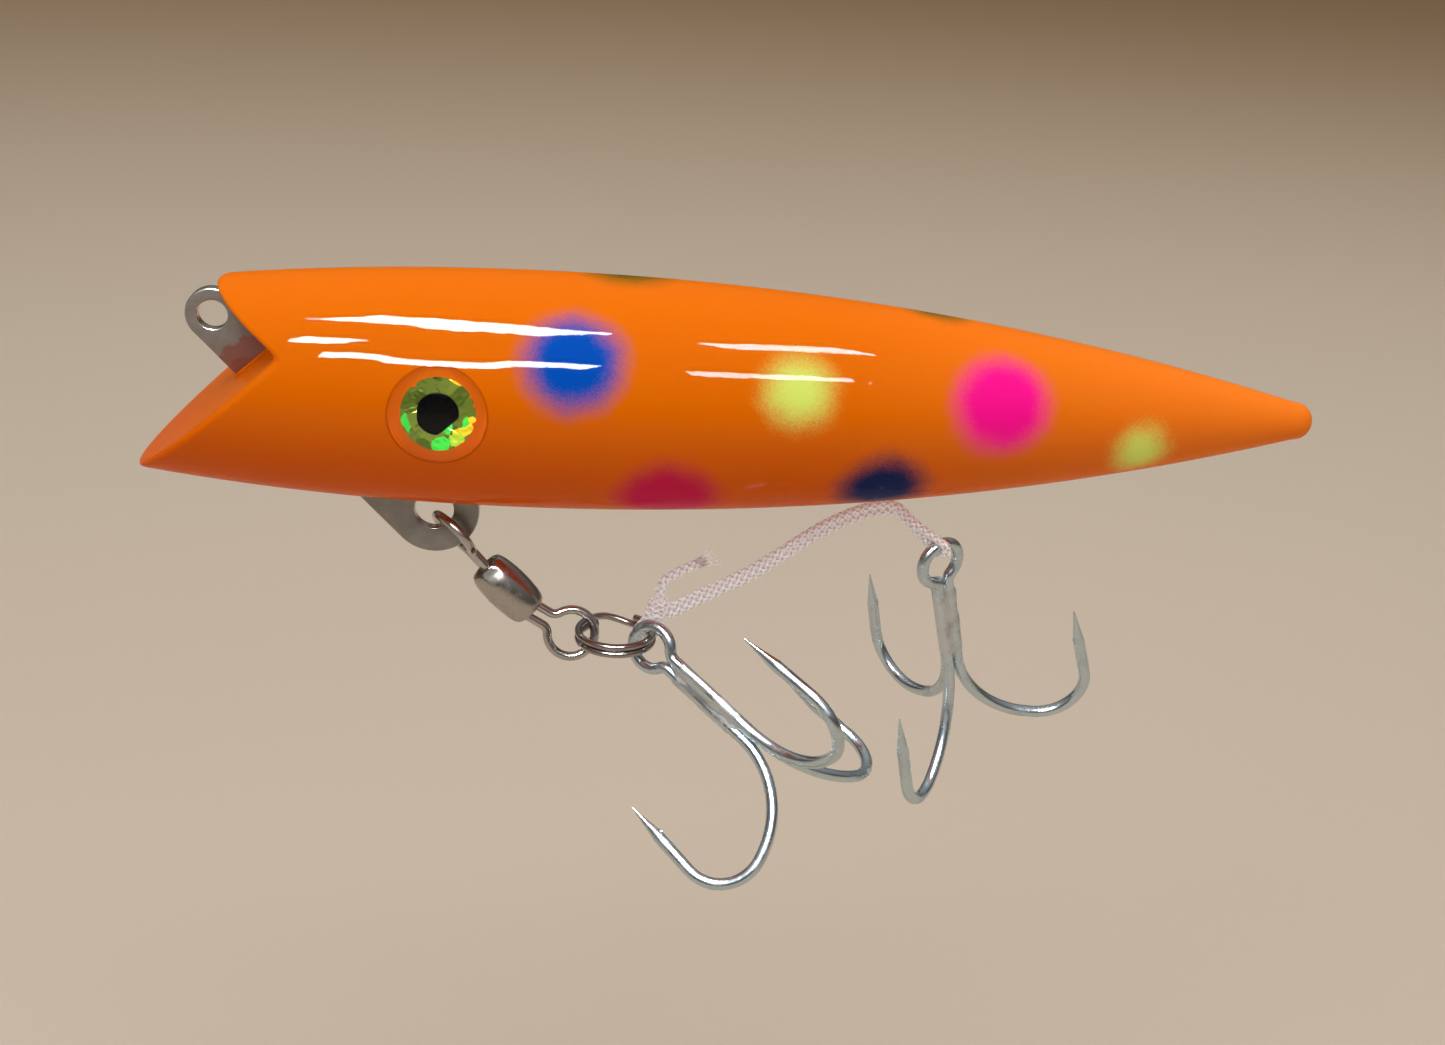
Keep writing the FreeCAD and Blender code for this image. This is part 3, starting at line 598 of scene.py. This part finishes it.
def plate_look(name):
    """Sheared stainless sheet: dull brushed faces, bright edges, paint at the foot of the tab."""
    look = Look(name)
    where = look.place()
    run = math.atan2(BELLY_LUG[1] - TOW_LUG[1], BELLY_LUG[0] - TOW_LUG[0])
    lines = look.noise(look.drawn_out(where, 0.08, run), 5200.0, 4.0, 0.7)
    blotch = look.noise(where, 380.0, 4.0, 0.6)
    facing = look.math("ABSOLUTE", look.split(look.node("NewGeometry").outputs["Normal"])[1])
    edge = look.ramp(facing, 0.80, 0.97, 1.0, 0.0)
    worn = look.math("ADD", look.math("MULTIPLY", blotch, 0.7), look.math("MULTIPLY", lines, 0.4),
                     clamp=True)
    steel = look.mix(edge, look.mix(worn, STEEL_DARK, STEEL_DULL), STEEL_EDGE)
    away = look.math("ADD", look.vector("DISTANCE", where, plug_point(*FILM_FOOT)),
                     look.about_zero(blotch, 3.5 * MM))
    film = look.ramp(away, FILM_REACH * MM, (FILM_REACH + 0.5) * MM, 1.0, 0.0)
    colour = look.mix(look.math("MULTIPLY", film, 0.78), steel, STEEL_FILM)
    look.surface(Base_Color=colour, Metallic=look.ramp(film, 0.0, 1.0, 1.0, 0.35),
                 Roughness=look.ramp(look.math("SUBTRACT", lines, edge), -0.6, 0.8, 0.2, 0.5),
                 Normal=look.bump(lines, 0.01 * MM, 0.6), Coat_Weight=film, Coat_Roughness=0.04)
    return look.material


def cord_look(name):
    """White braided nylon: silky yarns, a little grubby, singed brown at the cut end, with painted
    shade at the yarns' edges and under their crossings, and a faint painted glow.
    """
    look = Look(name)
    where = look.place()
    fibres = look.noise(where, 6000.0, 3.0, 0.7)
    dirt = look.ramp(look.noise(where, 300.0, 3.0), 0.45, 0.75)
    crest = look.node("Attribute", {"attribute_name": "crest"}).outputs["Fac"]
    nylon_tone_and_shade = look.mix(fibres, NYLON_DULL, NYLON)
    # Painted shade: darker where the yarns' crests fall away, at their edges and under crossings.
    nylon_tone_and_shade = look.mix(look.ramp(crest, 0.25, 0.80, smooth=True), NYLON_SHADE, nylon_tone_and_shade)
    colour = look.mix(look.math("MULTIPLY", dirt, 0.10), nylon_tone_and_shade, NYLON_DIRT)
    away = look.math("ADD", look.vector("DISTANCE", where, TAG_TIP),
                     look.math("MULTIPLY", fibres, 0.7 * MM))
    burnt = look.ramp(away, 0.7 * MM, 1.7 * MM, 1.0, 0.0)
    colour = look.mix(look.math("MULTIPLY", burnt, 0.8), colour, NYLON_BURNT)
    # The cord glows a little: painted light.
    look.surface(Base_Color=colour, Roughness=0.42, Specular_IOR_Level=0.6,
                 Sheen_Weight=0.25, Sheen_Roughness=0.4,
                 Emission_Color=colour, Emission_Strength=0.18,
                 Normal=look.bump(fibres, 0.01 * MM, 0.6))
    return look.material


# ------------ plug body

def mouth_face(z):
    """Where the sawn mouth stands along x at height z, with its root softened."""
    rise = np.asarray(z, float) - MOUTH_ROOT[1]
    soft = np.sqrt(rise ** 2 + MOUTH_ROOT_SOFTNESS ** 2)
    return MOUTH_ROOT[0] - PAINT_FILM - UPPER_JAW_RUN * (soft + rise) / 2 \
        - LOWER_JAW_RUN * (soft - rise) / 2


def eye_frame(side):
    """Outward and upward directions of an eye; side is -1 on the left."""
    outward = Vector((0, side * math.cos(EYE_TILT), math.sin(EYE_TILT)))
    return outward, Vector((0, -side * math.sin(EYE_TILT), math.cos(EYE_TILT)))


def eye_point(side, along, height, out):
    """A point placed by an eye: along x, up its disc, and out from the turning axis."""
    outward, up = eye_frame(side)
    return plug_point(EYE_X, 0, 0) + (outward * out + X_AXIS * along + up * height) * MM


def eye_ring(side, radius, out, sides=96):
    """A ring of points about an eye's axis."""
    return [eye_point(side, radius * math.cos(a), radius * math.sin(a), out) for a in around(sides)]


def mound(x, y, z):
    """How far the clear coat swells around the eyes at a point of the body."""
    up = np.array(eye_frame(1)[0])
    out = np.stack([np.zeros_like(x), np.abs(y), z], -1)
    level = out @ up
    across = out - level[..., None] * up
    away = np.sqrt((x - EYE_X) ** 2 + (across ** 2).sum(-1))
    share = np.clip((MOUND_EDGE - away) / (MOUND_EDGE - MOUND_FLAT), 0, 1)
    return MOUND_HEIGHT * share ** 2 * (3 - 2 * share)


def skin_radius(x, turn):
    """Radius of the painted surface at x and at an angle about the axis."""
    base = body_radius(x) + PAINT_FILM
    return base + mound(x, base * np.cos(turn), base * np.sin(turn))


def rim_radius(turn):
    """Radius at which the mouth's face meets the turned surface, by halving."""
    low, high = np.full_like(turn, 4.0), np.full_like(turn, 19.0)
    for _ in range(40):
        middle = (low + high) / 2
        inside = middle < body_radius(np.maximum(mouth_face(middle * np.sin(turn)), 0.0)) + PAINT_FILM
        low, high = np.where(inside, middle, low), np.where(inside, high, middle)
    return (low + high) / 2


def body_rows(columns, cap_rows, lip_rows, side_rows, tail_rows):
    """Rings of the painted body from the middle of the mouth's face to the tail."""
    turn = np.linspace(0, 2 * math.pi, columns, endpoint=False)
    rim = rim_radius(turn)
    rim_x = mouth_face(rim * np.sin(turn))
    step = 0.01
    tilt = (mouth_face((rim - step) * np.sin(turn)) - rim_x) / step
    inner = rim - LIP_ROUND / np.sqrt(1 + tilt ** 2)
    outer_x = rim_x + LIP_ROUND
    rows = []
    for share in np.linspace(1 / cap_rows, 1, cap_rows):
        radius = inner * share
        rows.append((mouth_face(radius * np.sin(turn)), radius))
    start = rows[-1]
    finish = (outer_x, skin_radius(outer_x, turn))
    for t in np.linspace(0, 1, lip_rows + 2)[1:-1]:
        rows.append(tuple((1 - t) ** 2 * s + 2 * t * (1 - t) * c + t ** 2 * f
                          for s, c, f in zip(start, (rim_x, rim), finish)))
    tail_x, tail_radius = BODY_STATIONS[-1]
    for share in np.linspace(0, 1, side_rows):
        x = outer_x + (tail_x - outer_x) * share
        rows.append((x, skin_radius(x, turn)))
    for t in np.linspace(0, math.pi / 2, tail_rows + 1)[1:-1]:
        rows.append((np.full_like(turn, tail_x + (BODY_LENGTH - tail_x) * math.sin(t)),
                     np.full_like(turn, (tail_radius + PAINT_FILM) * math.cos(t) ** 0.9)))
    return [[plug_point(x[c], r[c] * math.cos(turn[c]), r[c] * math.sin(turn[c]))
             for c in range(columns)] for x, r in rows]


def cut_away(obj, *cutters):
    """Cut closed meshes out of an object, then throw them away."""
    for cutter in cutters:
        modifier = obj.modifiers.new("cut", "BOOLEAN")
        modifier.operation, modifier.solver, modifier.object = "DIFFERENCE", "EXACT", cutter
    graph = bpy.context.evaluated_depsgraph_get()
    result = bpy.data.meshes.new_from_object(obj.evaluated_get(graph))
    obj.modifiers.clear()
    obj.data = result
    for cutter in cutters:
        bpy.data.objects.remove(cutter)


def lug_outline(grow, arc_points=48):
    """The plate's outline in the x-z plane: two arcs joined by their common tangents."""
    (x1, z1, r1, _), (x2, z2, r2, _) = TOW_LUG, BELLY_LUG
    heading = math.atan2(z2 - z1, x2 - x1)
    lean = math.acos((r1 - r2) / math.hypot(x2 - x1, z2 - z1))
    outline = []
    for x, z, r, start, sweep in ((x1, z1, r1, heading + lean, 2 * (math.pi - lean)),
                                  (x2, z2, r2, heading - lean, 2 * lean)):
        for k in range(arc_points + 1):
            a = start + sweep * k / arc_points
            outline.append((x + (r + grow) * math.cos(a), z + (r + grow) * math.sin(a)))
    return outline


def make_body(material):
    """The painted body with its sockets and the slot for the plate."""
    rows = body_rows(columns=232, cap_rows=44, lip_rows=9, side_rows=360, tail_rows=10)
    skin = capped_grid("painted_body", rows, material)
    cutters = [[eye_ring(side, SOCKET_RADIUS, out) for out in (SOCKET_FLOOR, 2 * SOCKET_FLOOR)]
               for side in (-1, 1)]
    half = PLATE_THICKNESS / 2 + SLOT_GAP
    cutters.append([[plug_point(x, y, z) for x, z in lug_outline(SLOT_GAP)] for y in (-half, half)])
    cut_away(skin, *[capped_grid("cutter", ends, material) for ends in cutters])
    smooth_by_angle(skin, 40)
    install(skin, "painted_wood", "plug", "plug_body")


def make_bead(name, line, material, radius):
    """A bead of paint round the plate where it leaves the wood, along an x-z line."""
    half = PLATE_THICKNESS / 2 + PAINT_FILM
    loop = [plug_point(x, -half, z) for x, z in line] + [plug_point(x, half, z) for x, z in line[::-1]]
    smooth = resample(loop + loop[:2], 0.25 * MM)
    bead = capped_grid(name, tube_rows(smooth, radius * MM, 10), material)
    install(bead, "painted_wood", "plug")


def within_plate(line):
    """The points of an x-z line that lie inside the plate's outline."""
    outline = lug_outline(0.1)
    inside = []
    for x, z in line:
        hit = False
        for (x1, z1), (x2, z2) in zip(outline, outline[-1:] + outline[:-1]):
            if (z1 > z) != (z2 > z) and x < (x2 - x1) * (z - z1) / (z2 - z1) + x1:
                hit = not hit
        if hit:
            inside.append((x, z))
    return inside


def make_beads(material):
    """The beads where the plate comes out of the mouth and out of the belly."""
    mouth = [(float(mouth_face(z)), float(z)) for z in np.linspace(-12, 14, 160)]
    belly = [(float(x), -float(body_radius(x)) - PAINT_FILM) for x in np.linspace(28, 62, 160)]
    make_bead("paint_bead_mouth", within_plate(mouth)[::6], material, 0.42)
    make_bead("paint_bead_belly", within_plate(belly)[::8], material, 0.3)


# ------------ eyes

def make_foil(side, word, material):
    """A crinkled foil disc with a torn edge."""
    random.seed(31 + side)
    sides, rings = 72, 10
    nicks = {random.randrange(sides): random.uniform(0.2, 0.5) for _ in range(4)}
    rows = []
    for r in range(1, rings + 1):
        row = []
        for k, a in enumerate(around(sides)):
            radius = FOIL_RADIUS * r / rings
            if r >= rings - 1:
                radius -= nicks.get(k, 0.0) * (1 if r == rings else 0.5)
                radius += random.uniform(-0.03, 0.03)
            lift = 0.06 + random.uniform(0, 0.10)
            row.append(eye_point(side, radius * math.cos(a), radius * math.sin(a), SOCKET_FLOOR + lift))
        rows.append(row)
    under = [p - eye_frame(side)[0] * (0.05 * MM) for p in rows[-1]]
    foil = capped_grid("eye_foil_shape_" + word, [*rows, under], material, False)
    install(foil, "eye_foil", "plug", "eye_foil_" + word)


def chord(distance, turn):
    """How far out a straight cut lies, at an angle from where it is nearest the middle."""
    facing = math.cos(turn)
    return distance / max(facing, 0.05) if facing > 0 else 3 * PUPIL_RADIUS


def pupil_edge(a):
    """Radius of the pupil's edge: the least of its circle and its two cuts, softened."""
    reaches = (PUPIL_RADIUS, chord(PUPIL_CUT, a + PUPIL_CUT_TURN), chord(PUPIL_FLANK, math.pi - a))
    near = sum(math.exp(-PUPIL_CORNER_SHARPNESS * reach) for reach in reaches)
    return -math.log(near) / PUPIL_CORNER_SHARPNESS


def make_pupil(side, word, material):
    """A black pupil with one side cut flat and a raised ring moulded into it."""
    rows = []
    for inset, lift in PUPIL_STEPS:
        row = []
        for a in around(96):
            radius = pupil_edge(a) - inset
            x, up = radius * math.cos(a), radius * math.sin(a)
            off = math.hypot(x - MOULD_RING_PLACE[0], up - MOULD_RING_PLACE[1]) - MOULD_RING_RADIUS
            bulge = MOULD_RING_HEIGHT * math.exp(-(off / MOULD_RING_WIDTH) ** 2) if inset > 0.3 else 0
            row.append(eye_point(side, x - PUPIL_SHIFT, up, SOCKET_FLOOR + lift + bulge))
        rows.append(row)
    pupil = capped_grid("eye_pupil_shape_" + word, rows, material)
    smooth_by_angle(pupil, 50)
    install(pupil, "eye_black", "plug", "eye_pupil_" + word)


def make_dome(side, word, material):
    """The clear casting over an eye, whose top carries on the body's swollen coat."""
    outward, up = eye_frame(side)
    edge, rings = SOCKET_RADIUS - CASTING_GAP, 22
    rows = []
    for r in range(1, rings + 1):
        radius = edge * r / rings
        row = []
        for a in around(96):
            flat = X_AXIS * (radius * math.cos(a)) + up * (radius * math.sin(a))
            out = SOCKET_FLOOR + 1.0
            for _ in range(12):
                p = flat + outward * out
                turn = math.atan2(p.z, p.y)
                want = float(skin_radius(np.array(EYE_X + p.x), np.array(turn)))
                out += want - math.hypot(p.y, p.z)
            row.append(eye_point(side, radius * math.cos(a), radius * math.sin(a), out))
        rows.append(row)
    rows.append(eye_ring(side, edge, SOCKET_FLOOR + 0.02))
    dome = capped_grid("eye_resin_" + word, rows, material)
    smooth_by_angle(dome, 50)
    install(dome, "clear_resin", "plug", "eye_dome_" + word)


# ------------ hanger plate

def make_plate(material):
    """The tumbled plate, from a bevelled outline with two holes."""
    curve = bpy.data.curves.new("plate_outline", "CURVE")
    curve.dimensions, curve.fill_mode = "2D", "BOTH"
    loops = [lug_outline(-PLATE_BEVEL, 64)]
    for x, z, _, hole in (TOW_LUG, BELLY_LUG):
        reach = hole + PLATE_BEVEL
        loops.append([(x + reach * math.cos(a), z + reach * math.sin(a)) for a in around(72)])
    for loop in loops:
        spline = curve.splines.new("POLY")
        spline.points.add(len(loop) - 1)
        for point, (x, z) in zip(spline.points, loop):
            point.co = (x, z, 0, 1)
        spline.use_cyclic_u = True
    curve.extrude = PLATE_THICKNESS / 2 - PLATE_BEVEL
    curve.bevel_depth, curve.bevel_resolution = PLATE_BEVEL, 4
    source = add_object("plate_outline", curve)
    graph = bpy.context.evaluated_depsgraph_get()
    mesh = bpy.data.meshes.new_from_object(source.evaluated_get(graph))
    bpy.data.objects.remove(source)
    tidy_faces(mesh, weld=0.001)
    mesh.transform(Matrix.Rotation(math.pi / 2, 4, "X"))
    mesh.transform(Matrix.Translation(plug_origin) @ Matrix.Scale(MM, 4))
    mesh.materials.clear()
    mesh.materials.append(material)
    plate = add_object("hanger_plate_shape", mesh)
    smooth_by_angle(plate, 30)
    install(plate, "plate_steel", "plug", "hanger_plate")


# ------------ swivel and hooks

def make_barrel(material):
    """The swivel's barrel: a rounded shell with rolled ends, one of them staked flat in front."""
    centre, axis = joint("barrel_spin")
    front = (STAKE_FRONT - axis * STAKE_FRONT.dot(axis)).normalized()
    across = axis.cross(front)
    points = []
    profile = [(-place, radius) for place, radius in BARREL_PROFILE] + list(BARREL_PROFILE[-2::-1])
    for place, radius in profile:
        for a in around(96):
            near = radius
            if place < STAKE_FOOT and math.cos(a) > 0.3 and radius > STAKE_RADIUS:
                flat = STAKE_RADIUS + STAKE_SLOPE * (place - STAKE_TOP)
                near = min(radius, flat / math.cos(a))
            spoke = (front * math.cos(a) + across * math.sin(a)) * near
            points.append(centre + (axis * place + spoke) * MM)
    faces = grid_faces(len(profile), 96, closed=True)
    shell = add_mesh("swivel_barrel_shape", points, faces, material)
    smooth_by_angle(shell, 28)
    install(shell, "swivel_barrel", "barrel", "swivel_barrel")


def make_braze(end, material):
    """The tin between a treble's three shanks: lobed, lumpy, thinning at both ends."""
    node = frame["nodes"][end + "_hook_solder"]
    cloud = np.array([tuple(node.matrix_world @ v.co) for v in node.data.vertices])
    middle = cloud.mean(0)
    axis = np.linalg.svd(cloud - middle)[2][0]
    side = np.cross(axis, (0.0, 0.0, 1.0) if abs(axis[2]) < 0.9 else (1.0, 0.0, 0.0))
    side /= np.linalg.norm(side)
    fore = np.cross(axis, side)
    turns = np.linspace(0, 2 * math.pi, 60, endpoint=False)
    flat = (cloud - middle) @ np.stack([side, fore], 1)
    support = (flat @ np.stack([np.cos(turns), np.sin(turns)])).max(0)
    facing = np.cos(turns[:, None] - turns[None, :])
    outline = np.where(facing > 0.2, support[None, :] / np.maximum(facing, 0.2), 1.0).min(1)
    lobe = turns[outline.argmax()]
    outline *= 1 - BRAZE_LOBE_DEPTH * (1 - np.cos(3 * (turns - lobe)))
    along = (cloud - middle) @ axis
    low, high = along.min() - BRAZE_RUNOUT * MM, along.max() + BRAZE_RUNOUT * MM
    random.seed(len(end))
    waves = [(random.randint(1, 5), random.uniform(0.5, 2.2), random.uniform(0, 6.3))
             for _ in range(9)]
    rows = []
    for t in np.linspace(low, high, 90):
        edge = min(t - low, high - t) / MM
        swell = 0.60 + 0.40 * min(1.0, edge / BRAZE_TAPER) ** 0.5
        lumps = sum(np.sin(n * turns + rate * t / MM + lag) for n, rate, lag in waves)
        radius = outline * swell + lumps * BRAZE_LUMP * MM
        rows.append([Vector(middle + axis * t + (side * math.cos(a) + fore * math.sin(a)) * r)
                     for a, r in zip(turns, radius)])
    braze = capped_grid(end + "_hook_braze", rows, material)
    install(braze, "hook_solder", end + "_treble", end + "_hook_solder")


# ------------ cord

def braid(path, radius):
    """Points, faces and crest heights of a braided cord: yarns wind both ways, over and under; the
    crest heights set the cord's painted shade.
    """
    points, frames = frames_along(resample(path, 0.16 * MM))
    walk = walked(points)
    verts, faces, crests = [], [], []
    sides, half = 8, YARNS // 2
    for yarn in range(YARNS):
        way = 1 if yarn < half else -1
        start = 2 * math.pi * (yarn % half) / half
        centres, weaves = [], []
        for s, point, (_, side, up) in zip(walk, points, frames):
            turn = start + way * 2 * math.pi * s / (YARN_PITCH * MM)
            weave = way * math.cos(half * turn)
            lift = radius * (0.66 + 0.16 * weave)
            weaves.append(weave)
            centres.append(point + (side * math.cos(turn) + up * math.sin(turn)) * lift)
        first = len(verts)
        yarn_points, yarn_frames = frames_along(centres)
        for centre, (tangent, _, _), spine, weave in zip(yarn_points, yarn_frames, points, weaves):
            out = (centre - spine).normalized()
            flat = tangent.cross(out).normalized()
            for a in around(sides):
                verts.append(centre + flat * (math.cos(a) * radius * 0.44)
                             + out * (math.sin(a) * radius * 0.24))
                # The crest sets the painted shade: low at a yarn's edges and where it passes under.
                crests.append(max(0.0, math.sin(a)) * (0.78 + 0.22 * weave))
        faces += grid_faces(len(centres), sides, first=first)
        faces.append(tuple(range(first, first + sides)))
        faces.append(tuple(range(len(verts) - sides, len(verts))))
    return verts, faces, crests


def join_parts(name, parts, material):
    """One object from several lists of points, faces and crest heights."""
    verts, faces, crests = [], [], []
    for part_verts, part_faces, part_crests in parts:
        base = len(verts)
        verts += part_verts
        crests += part_crests
        faces += [tuple(base + i for i in face) for face in part_faces]
    made = add_mesh(name, verts, faces, material)
    layer = made.data.attributes.new("crest", "FLOAT", "POINT")
    layer.data.foreach_set("value", crests)
    return made


def strand(points, side):
    """One of the cord's two strands, beside the given middle line."""
    spread = Vector((-0.35, 0, 0.94)).normalized() * (STRAND_SPREAD * MM)
    return [Vector(p) + spread * side for p in points]


def bend_over(obj, bodies, middle, reach, *nodes):
    """Bake a length of cord's place into its mesh, and hide the CAD nodes that it stands in for; the
    bodies, middle and reach are not used.
    """
    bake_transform(obj)
    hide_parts(*nodes)


def make_cord(material):
    """The doubled cord from knot to bight, in two lengths split at the middle between its two hinges.
    """
    front, _ = joint("cord_bend_front")
    rear, _ = joint("cord_bend_rear")
    eye_wire, eye_across = joint("rear_treble_swing")
    middle = front.lerp(rear, 0.5)
    along = (rear - front).normalized()
    first = [CORD_START, CORD_START.lerp(front, 0.5), front, middle]
    head = join_parts("cord_braid_front", [braid(strand(first, side), STRAND_RADIUS * MM)
                                           for side in (-1, 1)], material)
    bend_over(head, ("cord_start", "cord_mid"), front, along * (3.0 * MM), "cord_front")
    crown = CORD_CREST[-1]
    down = (eye_wire - crown).normalized()
    hook_side = eye_across.cross(down).normalized()
    lead = crown.lerp(eye_wire, 0.45)
    loop = [eye_wire + (hook_side * math.cos(a) - down * math.sin(a)) * (BIGHT_WRAP * MM)
            for a in (math.radians(d) for d in range(-10, -171, -20))]
    outward = strand([middle, rear, *CORD_CREST], -1)
    inward = strand([*reversed(CORD_CREST), rear, middle], 1)
    apart = hook_side * (0.72 * MM)
    if (outward[-1] - (lead + apart)).length > (outward[-1] - (lead - apart)).length:
        apart, loop = -apart, loop[::-1]
    full = outward + [lead + apart] + loop + [lead - apart] + inward
    tail = join_parts("cord_braid_rear", [braid(full, STRAND_RADIUS * MM)], material)
    bend_over(tail, ("cord_mid", "cord_tail"), rear, along * (2.5 * MM),
              "cord_middle", "cord_rear", "cord_end_loop")


def make_knot(material):
    """The hitch on the ring: turns round the ring's wire, and a coiled knot."""
    ring_wire, ring_along = joint("cord_swing")
    up = (KNOT - ring_wire).normalized()
    out = ring_along.cross(up).normalized()
    turns = []
    for k in range(37):
        a = math.radians(90 + k * 20)
        shift = ring_along * (HITCH_ADVANCE * MM * (k / 36 - 0.5))
        turns.append(ring_wire + (out * math.cos(a) + up * math.sin(a)) * (HITCH_WRAP * MM) + shift)
    axis = (TAG_PATH[0] - ring_wire).normalized()
    side = axis.cross(Vector((0, 1, 0))).normalized()
    fore = axis.cross(side)
    coil = []
    for k in range(49):
        a = math.radians(k * 20)
        base = ring_wire.lerp(TAG_PATH[0], 0.42 + 0.5 * k / 48)
        coil.append(base + (side * math.cos(a) + fore * math.sin(a)) * (COIL_WRAP * MM))
    stem = [ring_wire + up * (HITCH_WRAP * MM), ring_wire.lerp(KNOT, 0.6), KNOT, CORD_START]
    body = [CORD_START, KNOT, TAG_PATH[0]]
    hitch = join_parts("cord_hitch", [
        braid(turns, HITCH_RADIUS * MM), braid(coil, COIL_RADIUS * MM),
        braid(stem, HITCH_RADIUS * MM), braid(body, COIL_RADIUS * MM)], material)
    install(hitch, "cord", "cord_start", "cord_knot")


def make_tag(material):
    """The cord's cut end with its frayed fibres."""
    random.seed(7)
    parts = [braid(TAG_PATH, TAG_RADIUS * MM)]
    heading = (TAG_PATH[-1] - TAG_PATH[-2]).normalized()
    for _ in range(60):
        sway = Vector([random.uniform(-1, 1) for _ in range(3)])
        root = TAG_TIP - heading * (0.7 * MM) + sway * (0.45 * MM)
        length = random.uniform(0.8, 2.6) * MM
        bend = Vector([random.uniform(-1, 1) for _ in range(3)]) * (0.5 * length)
        tip = root + heading * length + sway * (0.35 * length)
        fibre = [root, root.lerp(tip, 0.5) + bend * 0.3, tip + bend * 0.5]
        rows = tube_rows(resample(fibre, 0.25 * MM), 0.06 * MM, 5)
        flat = [p for row in rows for p in row]
        ends = [tuple(range(5)), tuple(range(len(flat) - 5, len(flat)))]
        parts.append((flat, grid_faces(len(rows), 5) + ends, [1.0] * len(flat)))
    tag = join_parts("cord_tag", parts, material)
    install(tag, "cord", "cord_start", "cord_tag_end")


# ------------ stage

def make_floor():
    """A plain pale floor with painted shade that darkens it towards the back."""
    look = Look("floor_paper")
    where = look.place()
    near = look.mix(look.noise(where, 3.0, 3.0), PAPER_WARM, PAPER_PALE)
    # Painted shade: the floor darkens with distance, as if less light reached it.
    far_shade = look.ramp(look.split(where)[1], 0.35, 1.70, smooth=True)
    look.surface(Base_Color=look.mix(far_shade, near, PAPER_FAR_SHADE), Roughness=0.75, Specular_IOR_Level=0.2)
    level = plug_point(0, 0, FLOOR_BELOW).z
    corners = [(x * FLOOR_HALF, y * FLOOR_HALF, level) for x, y in ((-1, -1), (1, -1), (1, 1), (-1, 1))]
    add_mesh("floor", corners, [(0, 1, 2, 3)], look.material, False)


def make_world():
    """A dim sky that fades downward for reflections, and an even backdrop for the camera."""
    world = bpy.data.worlds.new("studio")
    world.use_nodes = True
    nodes, links = world.node_tree.nodes, world.node_tree.links
    height = nodes.new("ShaderNodeSeparateXYZ")
    links.new(nodes.new("ShaderNodeTexCoord").outputs["Generated"], height.inputs[0])
    sky = nodes.new("ShaderNodeValToRGB")
    for stop, place, colour in zip(sky.color_ramp.elements, (0.12, 0.85), (SKY_LOW, SKY_HIGH)):
        stop.position, stop.color = place, colour
    links.new(height.outputs[2], sky.inputs[0])
    seen = nodes.new("ShaderNodeMix")
    seen.data_type = "RGBA"
    links.new(nodes.new("ShaderNodeLightPath").outputs["Is Camera Ray"], seen.inputs[0])
    links.new(sky.outputs[0], seen.inputs[6])
    seen.inputs[7].default_value = BACKDROP
    links.new(seen.outputs[2], nodes["Background"].inputs[0])
    nodes["Background"].inputs[1].default_value = WORLD_STRENGTH
    bpy.context.scene.world = world


def make_lights():
    """Soft studio lights, and panes that only draw the highlights on the clear coat."""
    centre = plug_point(LIGHTS_MIDDLE, 0, 0)
    for name, place, size, power in LIGHTS:
        data = bpy.data.lights.new(name, "AREA")
        data.shape = "RECTANGLE"
        data.size, data.size_y = size
        data.energy = power
        light = add_object(name, data)
        light.location = centre + Vector(place)
        light.rotation_euler = (-Vector(place)).to_track_quat("-Z", "Y").to_euler()
        light.visible_glossy = name.startswith("pane")
        light.visible_diffuse = not light.visible_glossy


def make_camera():
    """The camera, aimed at the plug and rolled a little."""
    camera = add_object("camera", bpy.data.cameras.new("camera"))
    camera.data.sensor_width, camera.data.lens = CAMERA_SENSOR, CAMERA_LENS
    place = plug_point(*CAMERA_PLACE)
    level = (plug_point(*CAMERA_AIM) - place).to_track_quat("-Z", "Y").to_matrix().to_4x4()
    camera.matrix_world = Matrix.Translation(place) @ level @ Matrix.Rotation(CAMERA_ROLL, 4, "Z")
    bpy.context.scene.camera = camera
    bpy.context.scene.view_settings.view_transform = "Standard"


# ------------ build

paint = painted_look("orange_airbrush")
clear = clear_look("clear_coat")
foil = foil_look("holographic_foil")
black = black_look("pupil_black")
steel = plate_look("plate_stainless")
cord = cord_look("braided_nylon")
wire = metal_look("swivel_wire_steel", (0.48, 0.465, 0.45, 1), (0.30, 0.28, 0.26, 1),
                  roughness=0.20, grain_scale=5200, grain_depth=0.003, shade_axis=joint("barrel_spin")[1])
barrel = metal_look("barrel_nickel", (0.42, 0.39, 0.36, 1), (0.30, 0.275, 0.25, 1),
                    roughness=0.27, grain_scale=4200, grain_depth=0.004)
ring = metal_look("ring_nickel", (0.36, 0.335, 0.32, 1), (0.22, 0.20, 0.19, 1),
                  roughness=0.17, grain_scale=5200, grain_depth=0.002)
hook = metal_look("hook_tinned", (0.54, 0.635, 0.69, 1), (0.36, 0.40, 0.43, 1),
                  roughness=0.24, grain_scale=2600, grain_depth=0.002, patina=0.35)
solder = metal_look("hook_braze", (0.58, 0.62, 0.64, 1), (0.36, 0.36, 0.34, 1),
                    roughness=0.40, grain_scale=2200, grain_depth=0.04, patina=0.7)

make_body(paint)
make_beads(paint)
for eye_side, eye_word in ((-1, "left"), (1, "right")):
    make_foil(eye_side, eye_word, foil)
    make_pupil(eye_side, eye_word, black)
    make_dome(eye_side, eye_word, clear)
make_plate(steel)
make_barrel(barrel)
make_braze("front", solder)
make_braze("rear", solder)
make_cord(cord)
make_knot(cord)
make_tag(cord)

# The CAD shapes that are fine enough to be seen.
CAD_LOOKS = {
    "slot_filler": paint, "split_ring": ring, "swivel_upper_eye": wire, "swivel_lower_eye": wire,
    "plate_pin_front": hook, "plate_pin_rear": hook, "front_double_hook": hook,
    "front_single_hook": hook, "rear_double_hook": hook, "rear_single_hook": hook,
}
for node_name, node_look in CAD_LOOKS.items():
    node_object = frame["nodes"][node_name]
    node_object.data.materials.clear()
    node_object.data.materials.append(node_look)
    smooth_by_angle(node_object, 40)

make_floor()
make_world()
make_lights()
make_camera()
